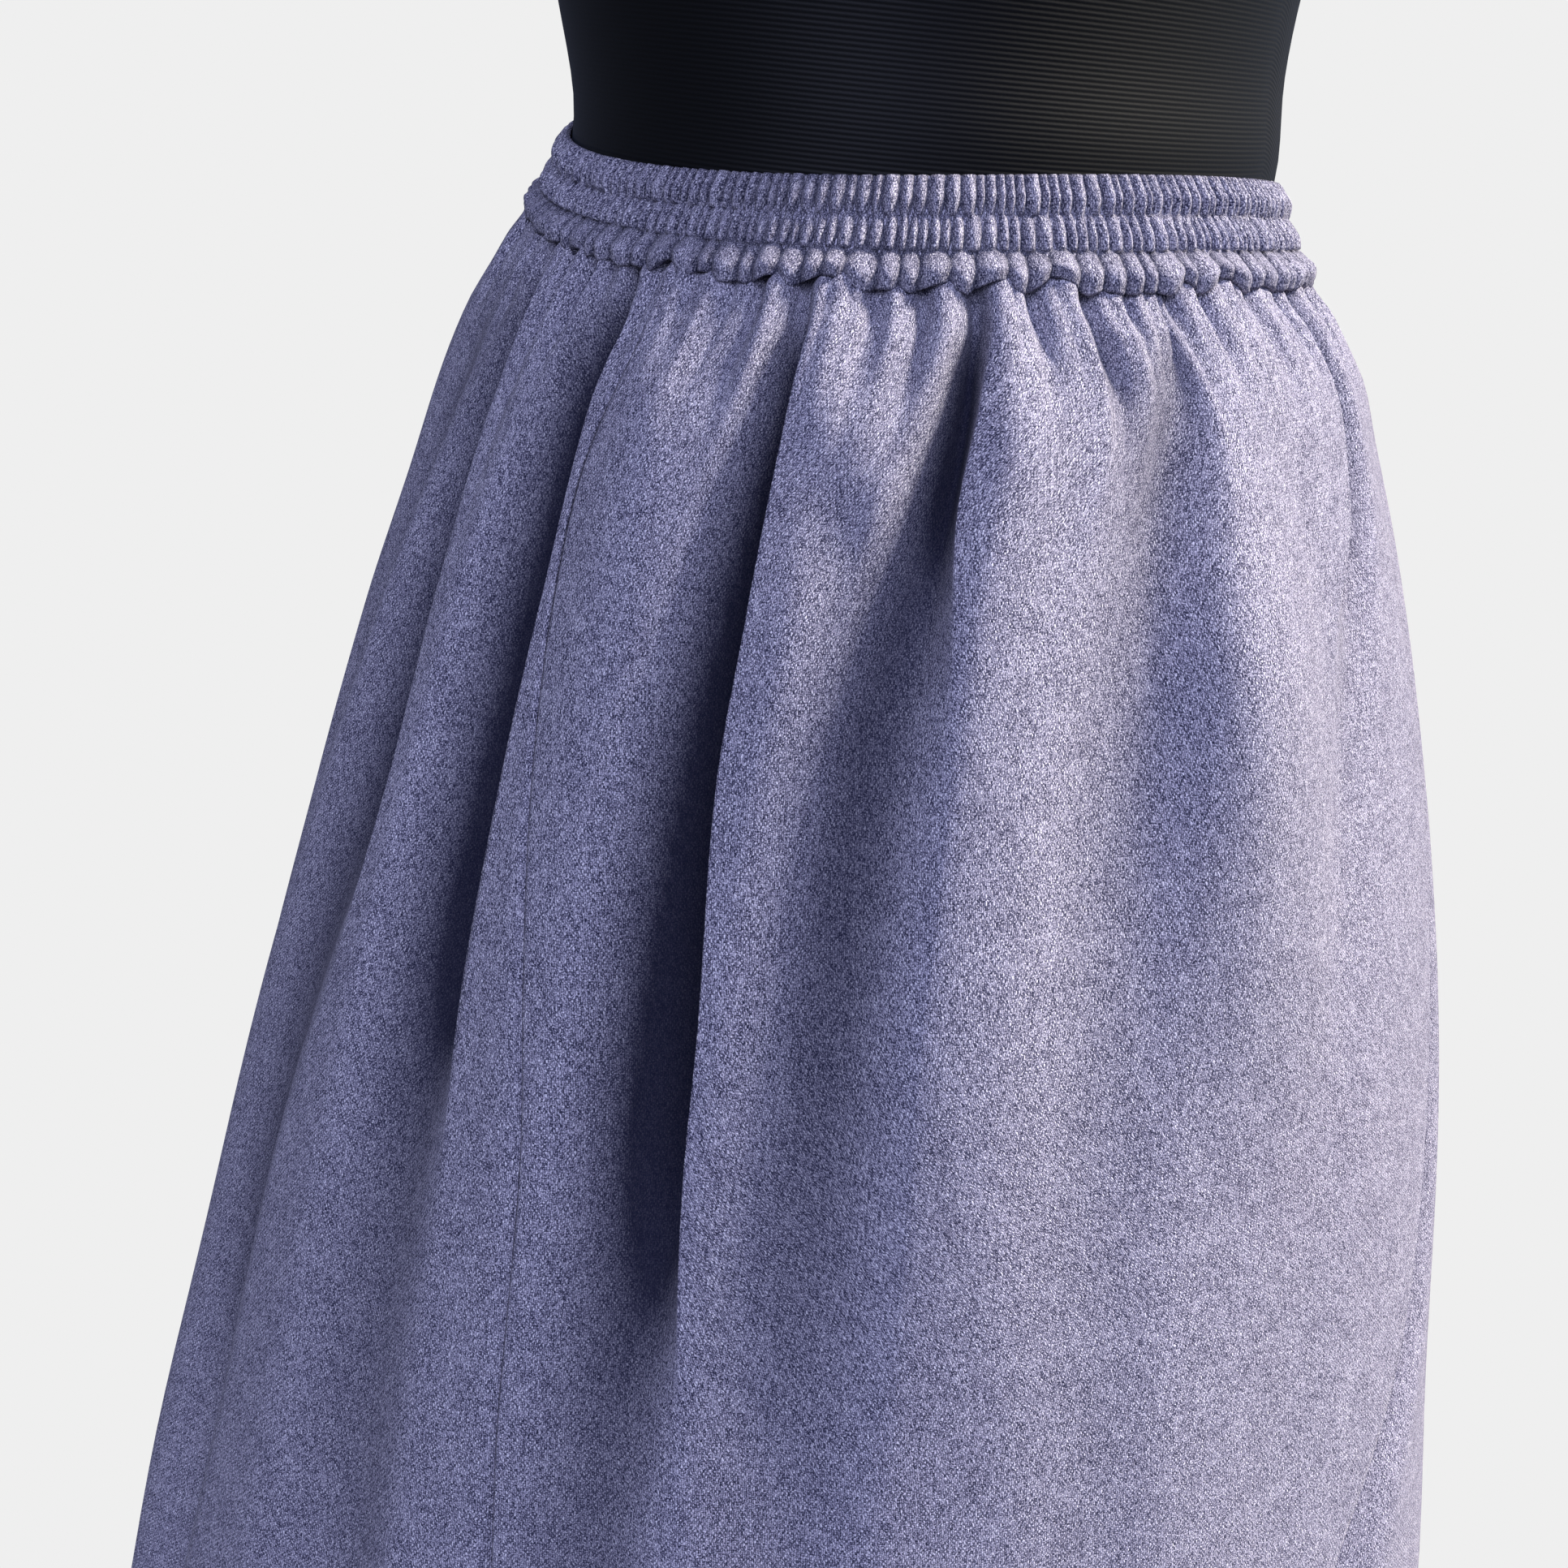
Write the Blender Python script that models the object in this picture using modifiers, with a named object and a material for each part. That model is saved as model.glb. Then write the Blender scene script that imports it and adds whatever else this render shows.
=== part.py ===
"""A gathered midi skirt on a limbless dress form.

Metres, +Z up. The origin is the middle of the foot plate's underside. The wearer faces -Y, so +X is the
wearer's left. An angle of 0 degrees is the centre front, 90 the wearer's left side and 180 the centre back.
A drop is a distance straight down from the top edge of the waistband.
"""

import math
from collections import namedtuple
from functools import lru_cache

import bmesh
import bpy
from mathutils import Vector

MM = 0.001

# Driving dimensions
WAIST_HEIGHT = 1.040
SKIRT_LENGTH = 0.780
BAND_DEPTH = 0.026
CLOTH = 0.0018
BAND_WALL = 0.0032
GAP = 0.0003
WAIST_SEAM_GAP = 0.0007

# The waist of the form, which the band grips
FORM_HALF_WIDTH = 0.1375
FORM_HALF_DEPTH = 0.1030

# Counts round the garment
SHIRRING_GATHERS = 144
SKIRT_GATHERS = 48
COLUMNS_PER_GATHER = 4
COLUMNS = SKIRT_GATHERS * COLUMNS_PER_GATHER
SEAM_COLUMN = 45

# The band dips and rises a little on its way round and its lower edge hangs lower at the back. Both fade
# out down the skirt
SADDLE_RISE = 0.005
SADDLE_TURN = math.radians(112)
SADDLE_FADE = 0.30
BACK_DIP = 0.003

# Outline of the fold crests: how far out the skirt reaches at each drop
Outline = namedtuple("Outline", "drop half_width half_depth back_shift")
OUTLINE = (
    Outline(0.026, 0.1545, 0.1185, 0.0030),
    Outline(0.036, 0.1620, 0.1265, 0.0045),
    Outline(0.050, 0.1700, 0.1355, 0.0060),
    Outline(0.072, 0.1785, 0.1445, 0.0065),
    Outline(0.105, 0.1900, 0.1560, 0.0090),
    Outline(0.150, 0.2030, 0.1715, 0.0100),
    Outline(0.210, 0.2195, 0.1900, 0.0105),
    Outline(0.290, 0.2370, 0.2105, 0.0100),
    Outline(0.390, 0.2555, 0.2320, 0.0085),
    Outline(0.510, 0.2760, 0.2570, 0.0060),
    Outline(0.640, 0.2930, 0.2785, 0.0035),
    Outline(0.780, 0.3080, 0.2970, 0.0010),
)

# Small gathers under the band: how deep they are at each drop
Gather = namedtuple("Gather", "drop depth")
GATHER_FADE = (
    Gather(0.026, 0.0034),
    Gather(0.048, 0.0070),
    Gather(0.080, 0.0064),
    Gather(0.130, 0.0032),
    Gather(0.210, 0.0010),
    Gather(0.300, 0.0000),
)

# Large hanging folds, each a valley between two crests. Its middle is given in degrees at four drops, its
# half widths in degrees on the side of smaller and of larger angles, and its depth in millimetres
FOLD_DROPS = (0.050, 0.220, 0.380, 0.780)
FOLD_START = 0.020
Fold = namedtuple("Fold", "top mid low hem before after top_depth mid_depth low_depth hem_depth")
FOLDS = (
    Fold(8, 6, 5, 4, 8, 9, 4, 6, 10, 26),
    Fold(31, 29, 28, 27, 9, 7, 5, 7, 13, 30),
    Fold(49, 41, 39, 37, 6, 8, 5, 8, 11, 26),
    Fold(58, 57, 55, 52, 6, 8, 11, 10, 12, 27),
    Fold(76, 75, 79, 77, 6, 6, 15, 18, 9, 26),
    Fold(101, 99, 99, 101, 8, 4, 12, 30, 10, 30),
    Fold(120, 112, 115, 122, 8, 5, 12, 5, 4, 24),
    Fold(146, 134, 136, 140, 7, 6, 8, 3, 2, 12),
    Fold(175, 158, 152, 150, 5, 6, 12, 1, 1, 2),
    Fold(190, 185, 166, 154, 5, 9, 2, 6, 19, 29),
    Fold(204, 205, 204, 190, 7, 8, 7, 9, 11, 26),
    Fold(226, 222, 223, 216, 8, 8, 6, 7, 14, 28),
    Fold(246, 243, 241, 240, 6, 10, 9, 14, 18, 31),
    Fold(262, 263, 264, 265, 7, 6, 5, 8, 12, 24),
    Fold(284, 281, 281, 284, 8, 7, 8, 11, 16, 29),
    Fold(307, 306, 305, 306, 9, 8, 5, 6, 11, 27),
    Fold(326, 328, 328, 329, 6, 9, 7, 9, 14, 28),
    Fold(346, 344, 345, 347, 8, 7, 5, 7, 12, 25),
)

# The two side seams, in degrees at the same four drops
Seam = namedtuple("Seam", "top mid low hem")
SEAMS = (
    Seam(83.5, 89, 93, 95),
    Seam(275.6, 275, 274, 273),
)

# Unevenness of the gathers. The share is of the gather's own size
UNEVEN_PLACES = 0.021
UNEVEN_PLACES_FINE = 0.012
EVEN_AT_SEAMS = 0.6
UNEVEN_GATHERS = 0.25
UNEVEN_TUCKS = 0.20

# Waistband: three stitched rows. Depth is how far a tuck sinks below its crest
BandRing = namedtuple("BandRing", "drop flare depth")
BAND_RINGS = (
    BandRing(0.0000, 0.0000, 0.0004),
    BandRing(0.0043, 0.0034, 0.0018),
    BandRing(0.0087, 0.0046, 0.0008),
    BandRing(0.0130, 0.0082, 0.0018),
    BandRing(0.0170, 0.0102, 0.0008),
    BandRing(0.0214, 0.0152, 0.0026),
    BandRing(0.0260, 0.0155, 0.0012),
)
PUFF_ROW_START = 5
PUFF_SHAPE = (1.0, 0.25, 0.0, 0.25)

# The band stands out less at the front than at the back
MEAN_FLARE = 0.8
FLARE_TOWARDS_BACK = 0.2

# Dress form: height is measured from the waist, up being positive
Section = namedtuple("Section", "height half_width half_depth back_shift")
FORM_SECTIONS = (
    Section(-0.262, 0.140, 0.100, 0.006),
    Section(-0.250, 0.160, 0.118, 0.006),
    Section(-0.225, 0.172, 0.127, 0.006),
    Section(-0.170, 0.174, 0.128, 0.005),
    Section(-0.110, 0.163, 0.121, 0.004),
    Section(-0.060, 0.149, 0.110, 0.002),
    Section(-0.030, 0.1405, 0.1060, 0.000),
    Section(-0.008, FORM_HALF_WIDTH, FORM_HALF_DEPTH, 0.000),
    Section(0.008, FORM_HALF_WIDTH, FORM_HALF_DEPTH, 0.000),
    Section(0.032, 0.1395, 0.1045, -0.0045),
    Section(0.060, 0.1435, 0.1085, -0.008),
    Section(0.110, 0.152, 0.118, -0.012),
    Section(0.165, 0.161, 0.127, -0.013),
    Section(0.220, 0.166, 0.125, -0.011),
    Section(0.280, 0.173, 0.111, -0.005),
    Section(0.325, 0.177, 0.096, 0.000),
    Section(0.355, 0.168, 0.083, 0.004),
    Section(0.380, 0.140, 0.073, 0.005),
    Section(0.400, 0.104, 0.066, 0.005),
    Section(0.420, 0.074, 0.061, 0.004),
    Section(0.445, 0.062, 0.058, 0.003),
    Section(0.500, 0.059, 0.056, 0.000),
)
FORM_SIDES = 36

# Stand
CAP_THICKNESS = 0.010
CAP_SIDES = 36
POLE_RADIUS = 0.0125
POLE_SIDES = 20
COLLAR_RADIUS = 0.030
COLLAR_HEIGHT = 0.055
COLLAR_SIDES = 24
BASE_RADIUS = 0.180
BASE_THICKNESS = 0.012
BASE_SIDES = 48
EDGE_ROUNDING = 0.003
EDGE_SEGMENTS = 2

# Outside of the collar from top to bottom, as shares of its radius and height
CollarStep = namedtuple("CollarStep", "radius height")
COLLAR_STEPS = (
    CollarStep(0.62, 1.00),
    CollarStep(0.70, 0.90),
    CollarStep(0.74, 0.30),
    CollarStep(1.00, 0.14),
    CollarStep(1.00, 0.00),
)

# Length of the patch of cloth whose direction is taken, down it and across it in columns
PATCH_DOWN = 0.004
PATCH_ACROSS = 0.5

# Edges sharper than this stay crisp when a surface is shaded smooth
CRISP_CLOTH = math.radians(50)
CRISP_EDGE = math.radians(40)

# Colours
CLOTH_COLOUR = (0.150, 0.138, 0.215, 1.0)
COVER_COLOUR = (0.010, 0.011, 0.014, 1.0)
METAL_COLOUR = (0.025, 0.026, 0.028, 1.0)
CAP_COLOUR = (0.016, 0.016, 0.018, 1.0)


def clear_scene():
    for obj in list(bpy.data.objects):
        bpy.data.objects.remove(obj, do_unlink=True)


def material(name, colour, roughness, metallic=0.0):
    finish = bpy.data.materials.new(name)
    finish.use_nodes = True
    shader = finish.node_tree.nodes["Principled BSDF"]
    shader.inputs["Base Color"].default_value = colour
    shader.inputs["Roughness"].default_value = roughness
    shader.inputs["Metallic"].default_value = metallic
    finish.diffuse_color = colour
    return finish


def ease(value, start, end):
    """Rise smoothly from 0 at start to 1 at end."""
    t = min(1.0, max(0.0, (value - start) / (end - start)))
    return t * t * (3.0 - 2.0 * t)


def read_between(places, values, place):
    """Value at a place between named ones, with a smooth change of slope."""
    if place <= places[0]:
        return values[0]
    for i in range(len(places) - 1):
        if place <= places[i + 1]:
            step = places[i + 1] - places[i]
            before = values[max(i - 1, 0)]
            after = values[min(i + 2, len(values) - 1)]
            span_before = places[i + 1] - places[max(i - 1, 0)]
            span_after = places[min(i + 2, len(places) - 1)] - places[i]
            start_slope = (values[i + 1] - before) / span_before * step
            end_slope = (after - values[i]) / span_after * step
            t = (place - places[i]) / step
            blend = t * t * (3.0 - 2.0 * t)
            return (
                values[i] * (1.0 - blend)
                + values[i + 1] * blend
                + start_slope * t * (1.0 - t) ** 2
                - end_slope * t * t * (1.0 - t)
            )
    return values[-1]


def read_table(rows, column, drop):
    return read_between([row.drop for row in rows], [getattr(row, column) for row in rows], drop)


def saddle(angle, drop):
    """Rise of the uneven waistline at an angle."""
    rise = SADDLE_RISE * math.sin(2.0 * (angle - SADDLE_TURN))
    dip = BACK_DIP * math.sin(angle - SADDLE_TURN) * min(drop / BAND_DEPTH, 1.0)
    return (rise - dip) * (1.0 - ease(drop, 0.0, SADDLE_FADE))


def column_angle(column):
    """Angle of a column of the cloth at the waist, in radians. The gathers are unevenly spaced."""
    turn = 2.0 * math.pi * column / COLUMNS
    uneven = UNEVEN_PLACES * math.sin(9.0 * turn + 0.5)
    uneven += UNEVEN_PLACES_FINE * math.sin(17.0 * turn + 2.0)
    return turn + uneven * (1.0 - EVEN_AT_SEAMS * math.sin(turn) ** 2)


@lru_cache(maxsize=None)
def guides(drop):
    """Where each fold and seam starts at the waist and hangs at a drop, in degrees and in order."""
    lines = sorted(FOLDS + SEAMS, key=lambda line: line.top)
    pairs = [
        (line.top, read_between(FOLD_DROPS, (line.top, line.mid, line.low, line.hem), drop))
        for line in lines
    ]
    first, last = pairs[0], pairs[-1]
    before = (last[0] - 360.0, last[1] - 360.0)
    after = (first[0] + 360.0, first[1] + 360.0)
    return [before] + pairs + [after]


def hanging_angle(column, drop):
    """Angle of a column lower down: the cloth keeps its place between the folds and seams on each side."""
    degrees = math.degrees(column_angle(column))
    turns = math.floor(degrees / 360.0)
    degrees -= 360.0 * turns
    lines = guides(drop)
    for (start, start_now), (end, end_now) in zip(lines, lines[1:]):
        if start <= degrees < end:
            share = (degrees - start) / (end - start)
            return math.radians(start_now + (end_now - start_now) * share + 360.0 * turns)
    return math.radians(degrees + 360.0 * turns)


def gather_depth(column, drop):
    """How far the small gathers under the band sink, deeper in some places than in others."""
    turn = 2.0 * math.pi * column / COLUMNS
    uneven = 1.0 + UNEVEN_GATHERS * (math.sin(7.0 * turn + 1.0) * math.sin(11.0 * turn) - 1.0)
    wave = 0.5 - 0.5 * math.cos(2.0 * math.pi * column / COLUMNS_PER_GATHER)
    return read_table(GATHER_FADE, "depth", drop) * uneven * wave


def fold_depth(angle, drop):
    """How far the large folds pull the cloth inwards at an angle and a drop."""
    degrees = math.degrees(angle)
    depth = 0.0
    for fold in FOLDS:
        middle = read_between(FOLD_DROPS, (fold.top, fold.mid, fold.low, fold.hem), drop)
        offset = (degrees - middle + 180.0) % 360.0 - 180.0
        width = fold.before if offset < 0.0 else fold.after
        if abs(offset) < width:
            depths = (fold.top_depth, fold.mid_depth, fold.low_depth, fold.hem_depth)
            deepest = read_between(FOLD_DROPS, depths, drop)
            depth += MM * deepest * 0.5 * (1.0 + math.cos(math.pi * offset / width))
    return depth * ease(drop, FOLD_START, FOLD_DROPS[0])


def skirt_point(column, drop):
    """Point on the outside of the cloth."""
    angle = hanging_angle(column, drop)
    inwards = fold_depth(angle, drop) + gather_depth(column, drop)
    half_width = read_table(OUTLINE, "half_width", drop) - inwards
    half_depth = read_table(OUTLINE, "half_depth", drop) - inwards
    shift = read_table(OUTLINE, "back_shift", drop)
    return Vector((
        half_width * math.sin(angle),
        shift - half_depth * math.cos(angle),
        WAIST_HEIGHT - drop + saddle(angle, drop),
    ))


def level_direction(column, drop):
    """Level direction straight out from the middle of the garment."""
    angle = hanging_angle(column, drop)
    return Vector((math.sin(angle), -math.cos(angle), 0.0))


def cloth_direction(column, drop):
    """Outward direction of the cloth, taken across a small patch."""
    across = skirt_point(column + PATCH_ACROSS, drop) - skirt_point(column - PATCH_ACROSS, drop)
    down = skirt_point(column, min(drop + PATCH_DOWN, SKIRT_LENGTH)) - skirt_point(column, drop - PATCH_DOWN)
    return down.cross(across).normalized()


def mesh_object(name, vertices, faces, finish, collection):
    mesh = bpy.data.meshes.new(name)
    mesh.from_pydata([tuple(v) for v in vertices], [], faces)
    mesh.materials.append(finish)
    obj = bpy.data.objects.new(name, mesh)
    collection.objects.link(obj)
    work = bmesh.new()
    work.from_mesh(mesh)
    bmesh.ops.recalc_face_normals(work, faces=work.faces)
    work.to_mesh(mesh)
    work.free()
    mesh.shade_smooth()
    mesh.set_sharp_from_angle(angle=CRISP_CLOTH)
    return obj


def cloth_panel(name, first, last, finish, collection):
    """A gathered panel between two seam columns, as a wall of even thickness."""
    drops = [row.drop for row in OUTLINE]
    drops[0] = BAND_DEPTH + WAIST_SEAM_GAP
    columns = list(range(first, last + 1))
    outer = []
    inner = []
    for drop in drops:
        for column in columns:
            point = skirt_point(column, drop)
            normal = cloth_direction(column, drop)
            at_seam = column in (first, last)
            if at_seam or drop == drops[0]:
                normal = level_direction(column, drop)
            if at_seam:
                half_gap = 0.5 * GAP if column == first else -0.5 * GAP
                point += Vector((-normal.y, normal.x, 0.0)) * half_gap
            outer.append(point)
            inner.append(point - normal * CLOTH)
    wide = len(columns)
    count = len(outer)
    faces = []
    for row in range(len(drops) - 1):
        for i in range(wide - 1):
            a = row * wide + i
            corners = (a, a + 1, a + 1 + wide, a + wide)
            faces.append(corners)
            faces.append(tuple(count + corner for corner in reversed(corners)))
    edge = list(range(wide))
    edge += [row * wide + wide - 1 for row in range(1, len(drops))]
    edge += [count - 1 - i for i in range(1, wide)]
    edge += [row * wide for row in range(len(drops) - 2, 0, -1)]
    for i, a in enumerate(edge):
        b = edge[(i + 1) % len(edge)]
        faces.append((b, a, count + a, count + b))
    return mesh_object(name, outer + inner, faces, finish, collection)


def band_tuck(index, ring):
    """How far the band's outside sinks at a column: tucks in the upper rows, wide puffs in the lowest."""
    turn = 2.0 * math.pi * index / (2 * SHIRRING_GATHERS)
    uneven = 1.0 + UNEVEN_TUCKS * (math.sin(13.0 * turn) * math.sin(5.0 * turn + 1.0) - 1.0)
    if ring >= PUFF_ROW_START:
        sunk = PUFF_SHAPE[index % len(PUFF_SHAPE)]
    else:
        sunk = float(index % 2)
    return sunk * uneven * BAND_RINGS[ring].depth


def flare_share(angle):
    """Share of the band's flare that shows at an angle."""
    return MEAN_FLARE - FLARE_TOWARDS_BACK * math.cos(angle)


def waistband(finish, collection):
    """An elastic casing: raised rows outside, a plain wall inside."""
    columns = 2 * SHIRRING_GATHERS
    top_width = FORM_HALF_WIDTH + GAP + BAND_WALL
    top_depth = FORM_HALF_DEPTH + GAP + BAND_WALL
    angles = [2.0 * math.pi * index / columns for index in range(columns)]
    rings = []
    for number, ring in enumerate(BAND_RINGS):
        rings.append([
            (ring.flare * flare_share(angle) - band_tuck(index, number), ring.drop)
            for index, angle in enumerate(angles)
        ])
    lowest = BAND_RINGS[-1].flare
    rings.append([(lowest * flare_share(angle) - BAND_WALL, BAND_DEPTH) for angle in angles])
    rings.append([(-BAND_WALL, 0.0)] * columns)
    vertices = []
    for ring in rings:
        for angle, (out, drop) in zip(angles, ring):
            vertices.append((
                (top_width + out) * math.sin(angle),
                -(top_depth + out) * math.cos(angle),
                WAIST_HEIGHT - drop + saddle(angle, drop),
            ))
    faces = []
    for ring in range(len(rings)):
        below = (ring + 1) % len(rings)
        for index in range(columns):
            after = (index + 1) % columns
            faces.append((
                ring * columns + index,
                ring * columns + after,
                below * columns + after,
                below * columns + index,
            ))
    return mesh_object("waistband", vertices, faces, finish, collection)


def form_torso(finish, collection):
    """The dress form from hips to neck, a loft between oval sections."""
    vertices = []
    for section in FORM_SECTIONS:
        for side in range(FORM_SIDES):
            angle = 2.0 * math.pi * side / FORM_SIDES
            vertices.append((
                section.half_width * math.sin(angle),
                section.back_shift - section.half_depth * math.cos(angle),
                WAIST_HEIGHT + section.height,
            ))
    faces = []
    for row in range(len(FORM_SECTIONS) - 1):
        for side in range(FORM_SIDES):
            after = (side + 1) % FORM_SIDES
            faces.append((
                row * FORM_SIDES + side,
                row * FORM_SIDES + after,
                (row + 1) * FORM_SIDES + after,
                (row + 1) * FORM_SIDES + side,
            ))
    faces.append(tuple(range(FORM_SIDES)))
    faces.append(tuple(range(len(vertices) - FORM_SIDES, len(vertices))))
    return mesh_object("form_torso", vertices, faces, finish, collection)


def cylinder(name, radius, low, high, sides, finish, collection, oval=1.0):
    """An upright cylinder, or an oval one, from a low to a high level."""
    mesh = bpy.data.meshes.new(name)
    work = bmesh.new()
    bmesh.ops.create_cone(
        work,
        cap_ends=True,
        segments=sides,
        radius1=radius,
        radius2=radius,
        depth=high - low,
    )
    for vertex in work.verts:
        vertex.co.y *= oval
        vertex.co.z += 0.5 * (low + high)
    work.to_mesh(mesh)
    work.free()
    mesh.materials.append(finish)
    mesh.shade_smooth()
    mesh.set_sharp_from_angle(angle=CRISP_EDGE)
    obj = bpy.data.objects.new(name, mesh)
    collection.objects.link(obj)
    return obj


def soften_edges(obj):
    bevel = obj.modifiers.new("Soft edges", "BEVEL")
    bevel.width = EDGE_ROUNDING
    bevel.segments = EDGE_SEGMENTS
    bevel.limit_method = "ANGLE"
    bevel.angle_limit = CRISP_EDGE


def collar(finish, collection):
    """The turned collar that holds the pole on the foot plate."""
    low = BASE_THICKNESS + GAP
    bore = POLE_RADIUS + GAP
    outside = [(COLLAR_RADIUS * step.radius, low + COLLAR_HEIGHT * step.height) for step in COLLAR_STEPS]
    profile = [(bore, low + COLLAR_HEIGHT)] + outside + [(bore, low)]
    mesh = bpy.data.meshes.new("stand_collar")
    corners = [(radius, 0.0, height) for radius, height in profile]
    edges = [(i, (i + 1) % len(corners)) for i in range(len(corners))]
    mesh.from_pydata(corners, edges, [])
    mesh.materials.append(finish)
    obj = bpy.data.objects.new("stand_collar", mesh)
    collection.objects.link(obj)
    turn = obj.modifiers.new("Turn", "SCREW")
    turn.steps = COLLAR_SIDES
    turn.render_steps = COLLAR_SIDES
    turn.use_merge_vertices = True
    turn.merge_threshold = 0.00005
    return obj


def main():
    clear_scene()
    parts = bpy.data.collections.new("midi_skirt_on_dress_form")
    bpy.context.scene.collection.children.link(parts)

    cloth = material("wool_cloth", CLOTH_COLOUR, 0.95)
    cover = material("ribbed_cover", COVER_COLOUR, 0.70)
    metal = material("black_metal", METAL_COLOUR, 0.40, 0.6)
    plastic = material("black_cap", CAP_COLOUR, 0.45)

    waistband(cloth, parts)
    cloth_panel("skirt_front", -SEAM_COLUMN, SEAM_COLUMN, cloth, parts)
    cloth_panel("skirt_back", SEAM_COLUMN, COLUMNS - SEAM_COLUMN, cloth, parts)

    form_torso(cover, parts)
    neck = FORM_SECTIONS[-1]
    neck_top = WAIST_HEIGHT + neck.height + GAP
    oval = neck.half_depth / neck.half_width
    cap_top = neck_top + CAP_THICKNESS
    cap = cylinder("form_neck_cap", neck.half_width, neck_top, cap_top, CAP_SIDES, plastic, parts, oval)
    soften_edges(cap)

    hips = WAIST_HEIGHT + FORM_SECTIONS[0].height
    cylinder("stand_pole", POLE_RADIUS, BASE_THICKNESS + GAP, hips - GAP, POLE_SIDES, metal, parts)
    collar(metal, parts)
    base = cylinder("stand_base", BASE_RADIUS, 0.0, BASE_THICKNESS, BASE_SIDES, metal, parts)
    soften_edges(base)


main()
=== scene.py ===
# %% [markdown]
# # A gathered wool midi skirt on a dress form
#
# The skirt is made of three pieces of cloth: an elastic waistband and two gathered panels. They were cut flat
# and then drawn up, so all their form is in the folds. This lesson builds each piece as a grid of points that
# small tables and formulas push in and out, because gathers follow rules that a formula says best.
#
# Everything is in metres in the frame of the packed model: +Z is up, the wearer faces -Y and +X is the
# wearer's left. An angle of 0 is the centre front, 90 the wearer's left side and 180 the centre back.

# %% Load the frame
import math
from collections import namedtuple

import bmesh
import bpy
import numpy as np
from mathutils import Matrix, Vector


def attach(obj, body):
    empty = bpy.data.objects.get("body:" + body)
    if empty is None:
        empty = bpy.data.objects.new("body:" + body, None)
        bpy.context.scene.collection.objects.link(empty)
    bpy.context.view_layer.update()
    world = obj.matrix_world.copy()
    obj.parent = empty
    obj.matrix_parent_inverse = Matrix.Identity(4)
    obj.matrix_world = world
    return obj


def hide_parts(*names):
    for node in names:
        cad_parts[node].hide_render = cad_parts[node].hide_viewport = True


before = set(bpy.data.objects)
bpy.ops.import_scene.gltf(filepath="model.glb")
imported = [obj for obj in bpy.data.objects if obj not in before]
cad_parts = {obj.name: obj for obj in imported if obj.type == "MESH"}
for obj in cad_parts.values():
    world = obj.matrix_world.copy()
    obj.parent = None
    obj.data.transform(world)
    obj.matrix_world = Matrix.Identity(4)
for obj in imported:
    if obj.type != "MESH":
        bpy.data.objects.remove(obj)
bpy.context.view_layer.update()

# %% [markdown]
# ## Driving sizes
#
# A skirt maker starts from three sizes: the waist, the length and the depth of the band. The solids of the
# packed model use the same ones, so the fine cloth lies on them.

# %% Sizes of the garment and the form
WAIST_HEIGHT = 1.040
SKIRT_LENGTH = 0.780
BAND_DEPTH = 0.026
CLOTH = 0.0014
BAND_WALL = 0.0032
FORM_HALF_WIDTH = 0.1375
FORM_HALF_DEPTH = 0.1030
BAND_CLEARANCE = 0.0003

MM = 0.001
FULL_TURN = 360.0

print("waist girth of the form:", round(math.pi * (FORM_HALF_WIDTH + FORM_HALF_DEPTH), 3), "m")

# %% [markdown]
# ## Camera
#
# The photo was taken from close by, at the wearer's left and a little behind, looking down. The camera stands
# just above the level of the waistband. It is turned a little, because the photographer tilted it.

# %% Camera
PHOTO_SIDE = 1932
CAMERA_AZIMUTH = math.radians(112.0)
CAMERA_DISTANCE = 0.5885
CAMERA_RISE = math.radians(3.0)
CAMERA_PITCH = math.radians(23.3)
CAMERA_YAW = math.radians(-2.62)
CAMERA_ROLL = math.radians(6.0)
SENSOR_WIDTH = 36.0
FOCAL_PIXELS = 2149.0


def make_camera():
    """Camera at the photo's angle: azimuth round the form, then yaw, pitch and roll of the aim."""
    outward = Vector((math.sin(CAMERA_AZIMUTH), -math.cos(CAMERA_AZIMUTH), 0.0))
    sideways = Vector((math.cos(CAMERA_AZIMUTH), math.sin(CAMERA_AZIMUTH), 0.0))
    up = Vector((0.0, 0.0, 1.0))
    level_aim = sideways * math.sin(CAMERA_YAW) - outward * math.cos(CAMERA_YAW)
    level_right = sideways * math.cos(CAMERA_YAW) + outward * math.sin(CAMERA_YAW)
    aim = level_aim * math.cos(CAMERA_PITCH) - up * math.sin(CAMERA_PITCH)
    top = level_right.cross(aim)
    right = level_right * math.cos(CAMERA_ROLL) + top * math.sin(CAMERA_ROLL)
    top = top * math.cos(CAMERA_ROLL) - level_right * math.sin(CAMERA_ROLL)
    place = outward * CAMERA_DISTANCE
    place.z = WAIST_HEIGHT + CAMERA_DISTANCE * math.tan(CAMERA_RISE)
    camera_data = bpy.data.cameras.new("photo_camera")
    camera_data.sensor_width = SENSOR_WIDTH
    camera_data.lens = FOCAL_PIXELS / PHOTO_SIDE * SENSOR_WIDTH
    camera_data.clip_start = 0.01
    camera = bpy.data.objects.new("photo_camera", camera_data)
    bpy.context.scene.collection.objects.link(camera)
    camera.matrix_world = Matrix((
        (right.x, top.x, -aim.x, place.x),
        (right.y, top.y, -aim.y, place.y),
        (right.z, top.z, -aim.z, place.z),
        (0.0, 0.0, 0.0, 1.0),
    ))
    bpy.context.scene.camera = camera
    return camera


camera = make_camera()
print("camera at", [round(value, 3) for value in camera.location], "lens", round(camera.data.lens, 2), "mm")

# %% [markdown]
# ## Reading smooth tables
#
# A short table says how wide, deep or far round something is at a few places. Between the rows a cubic curve
# fills in, so no step shows. Numpy reads it for a whole grid of points at once.

# %% Helpers for tables


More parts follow.
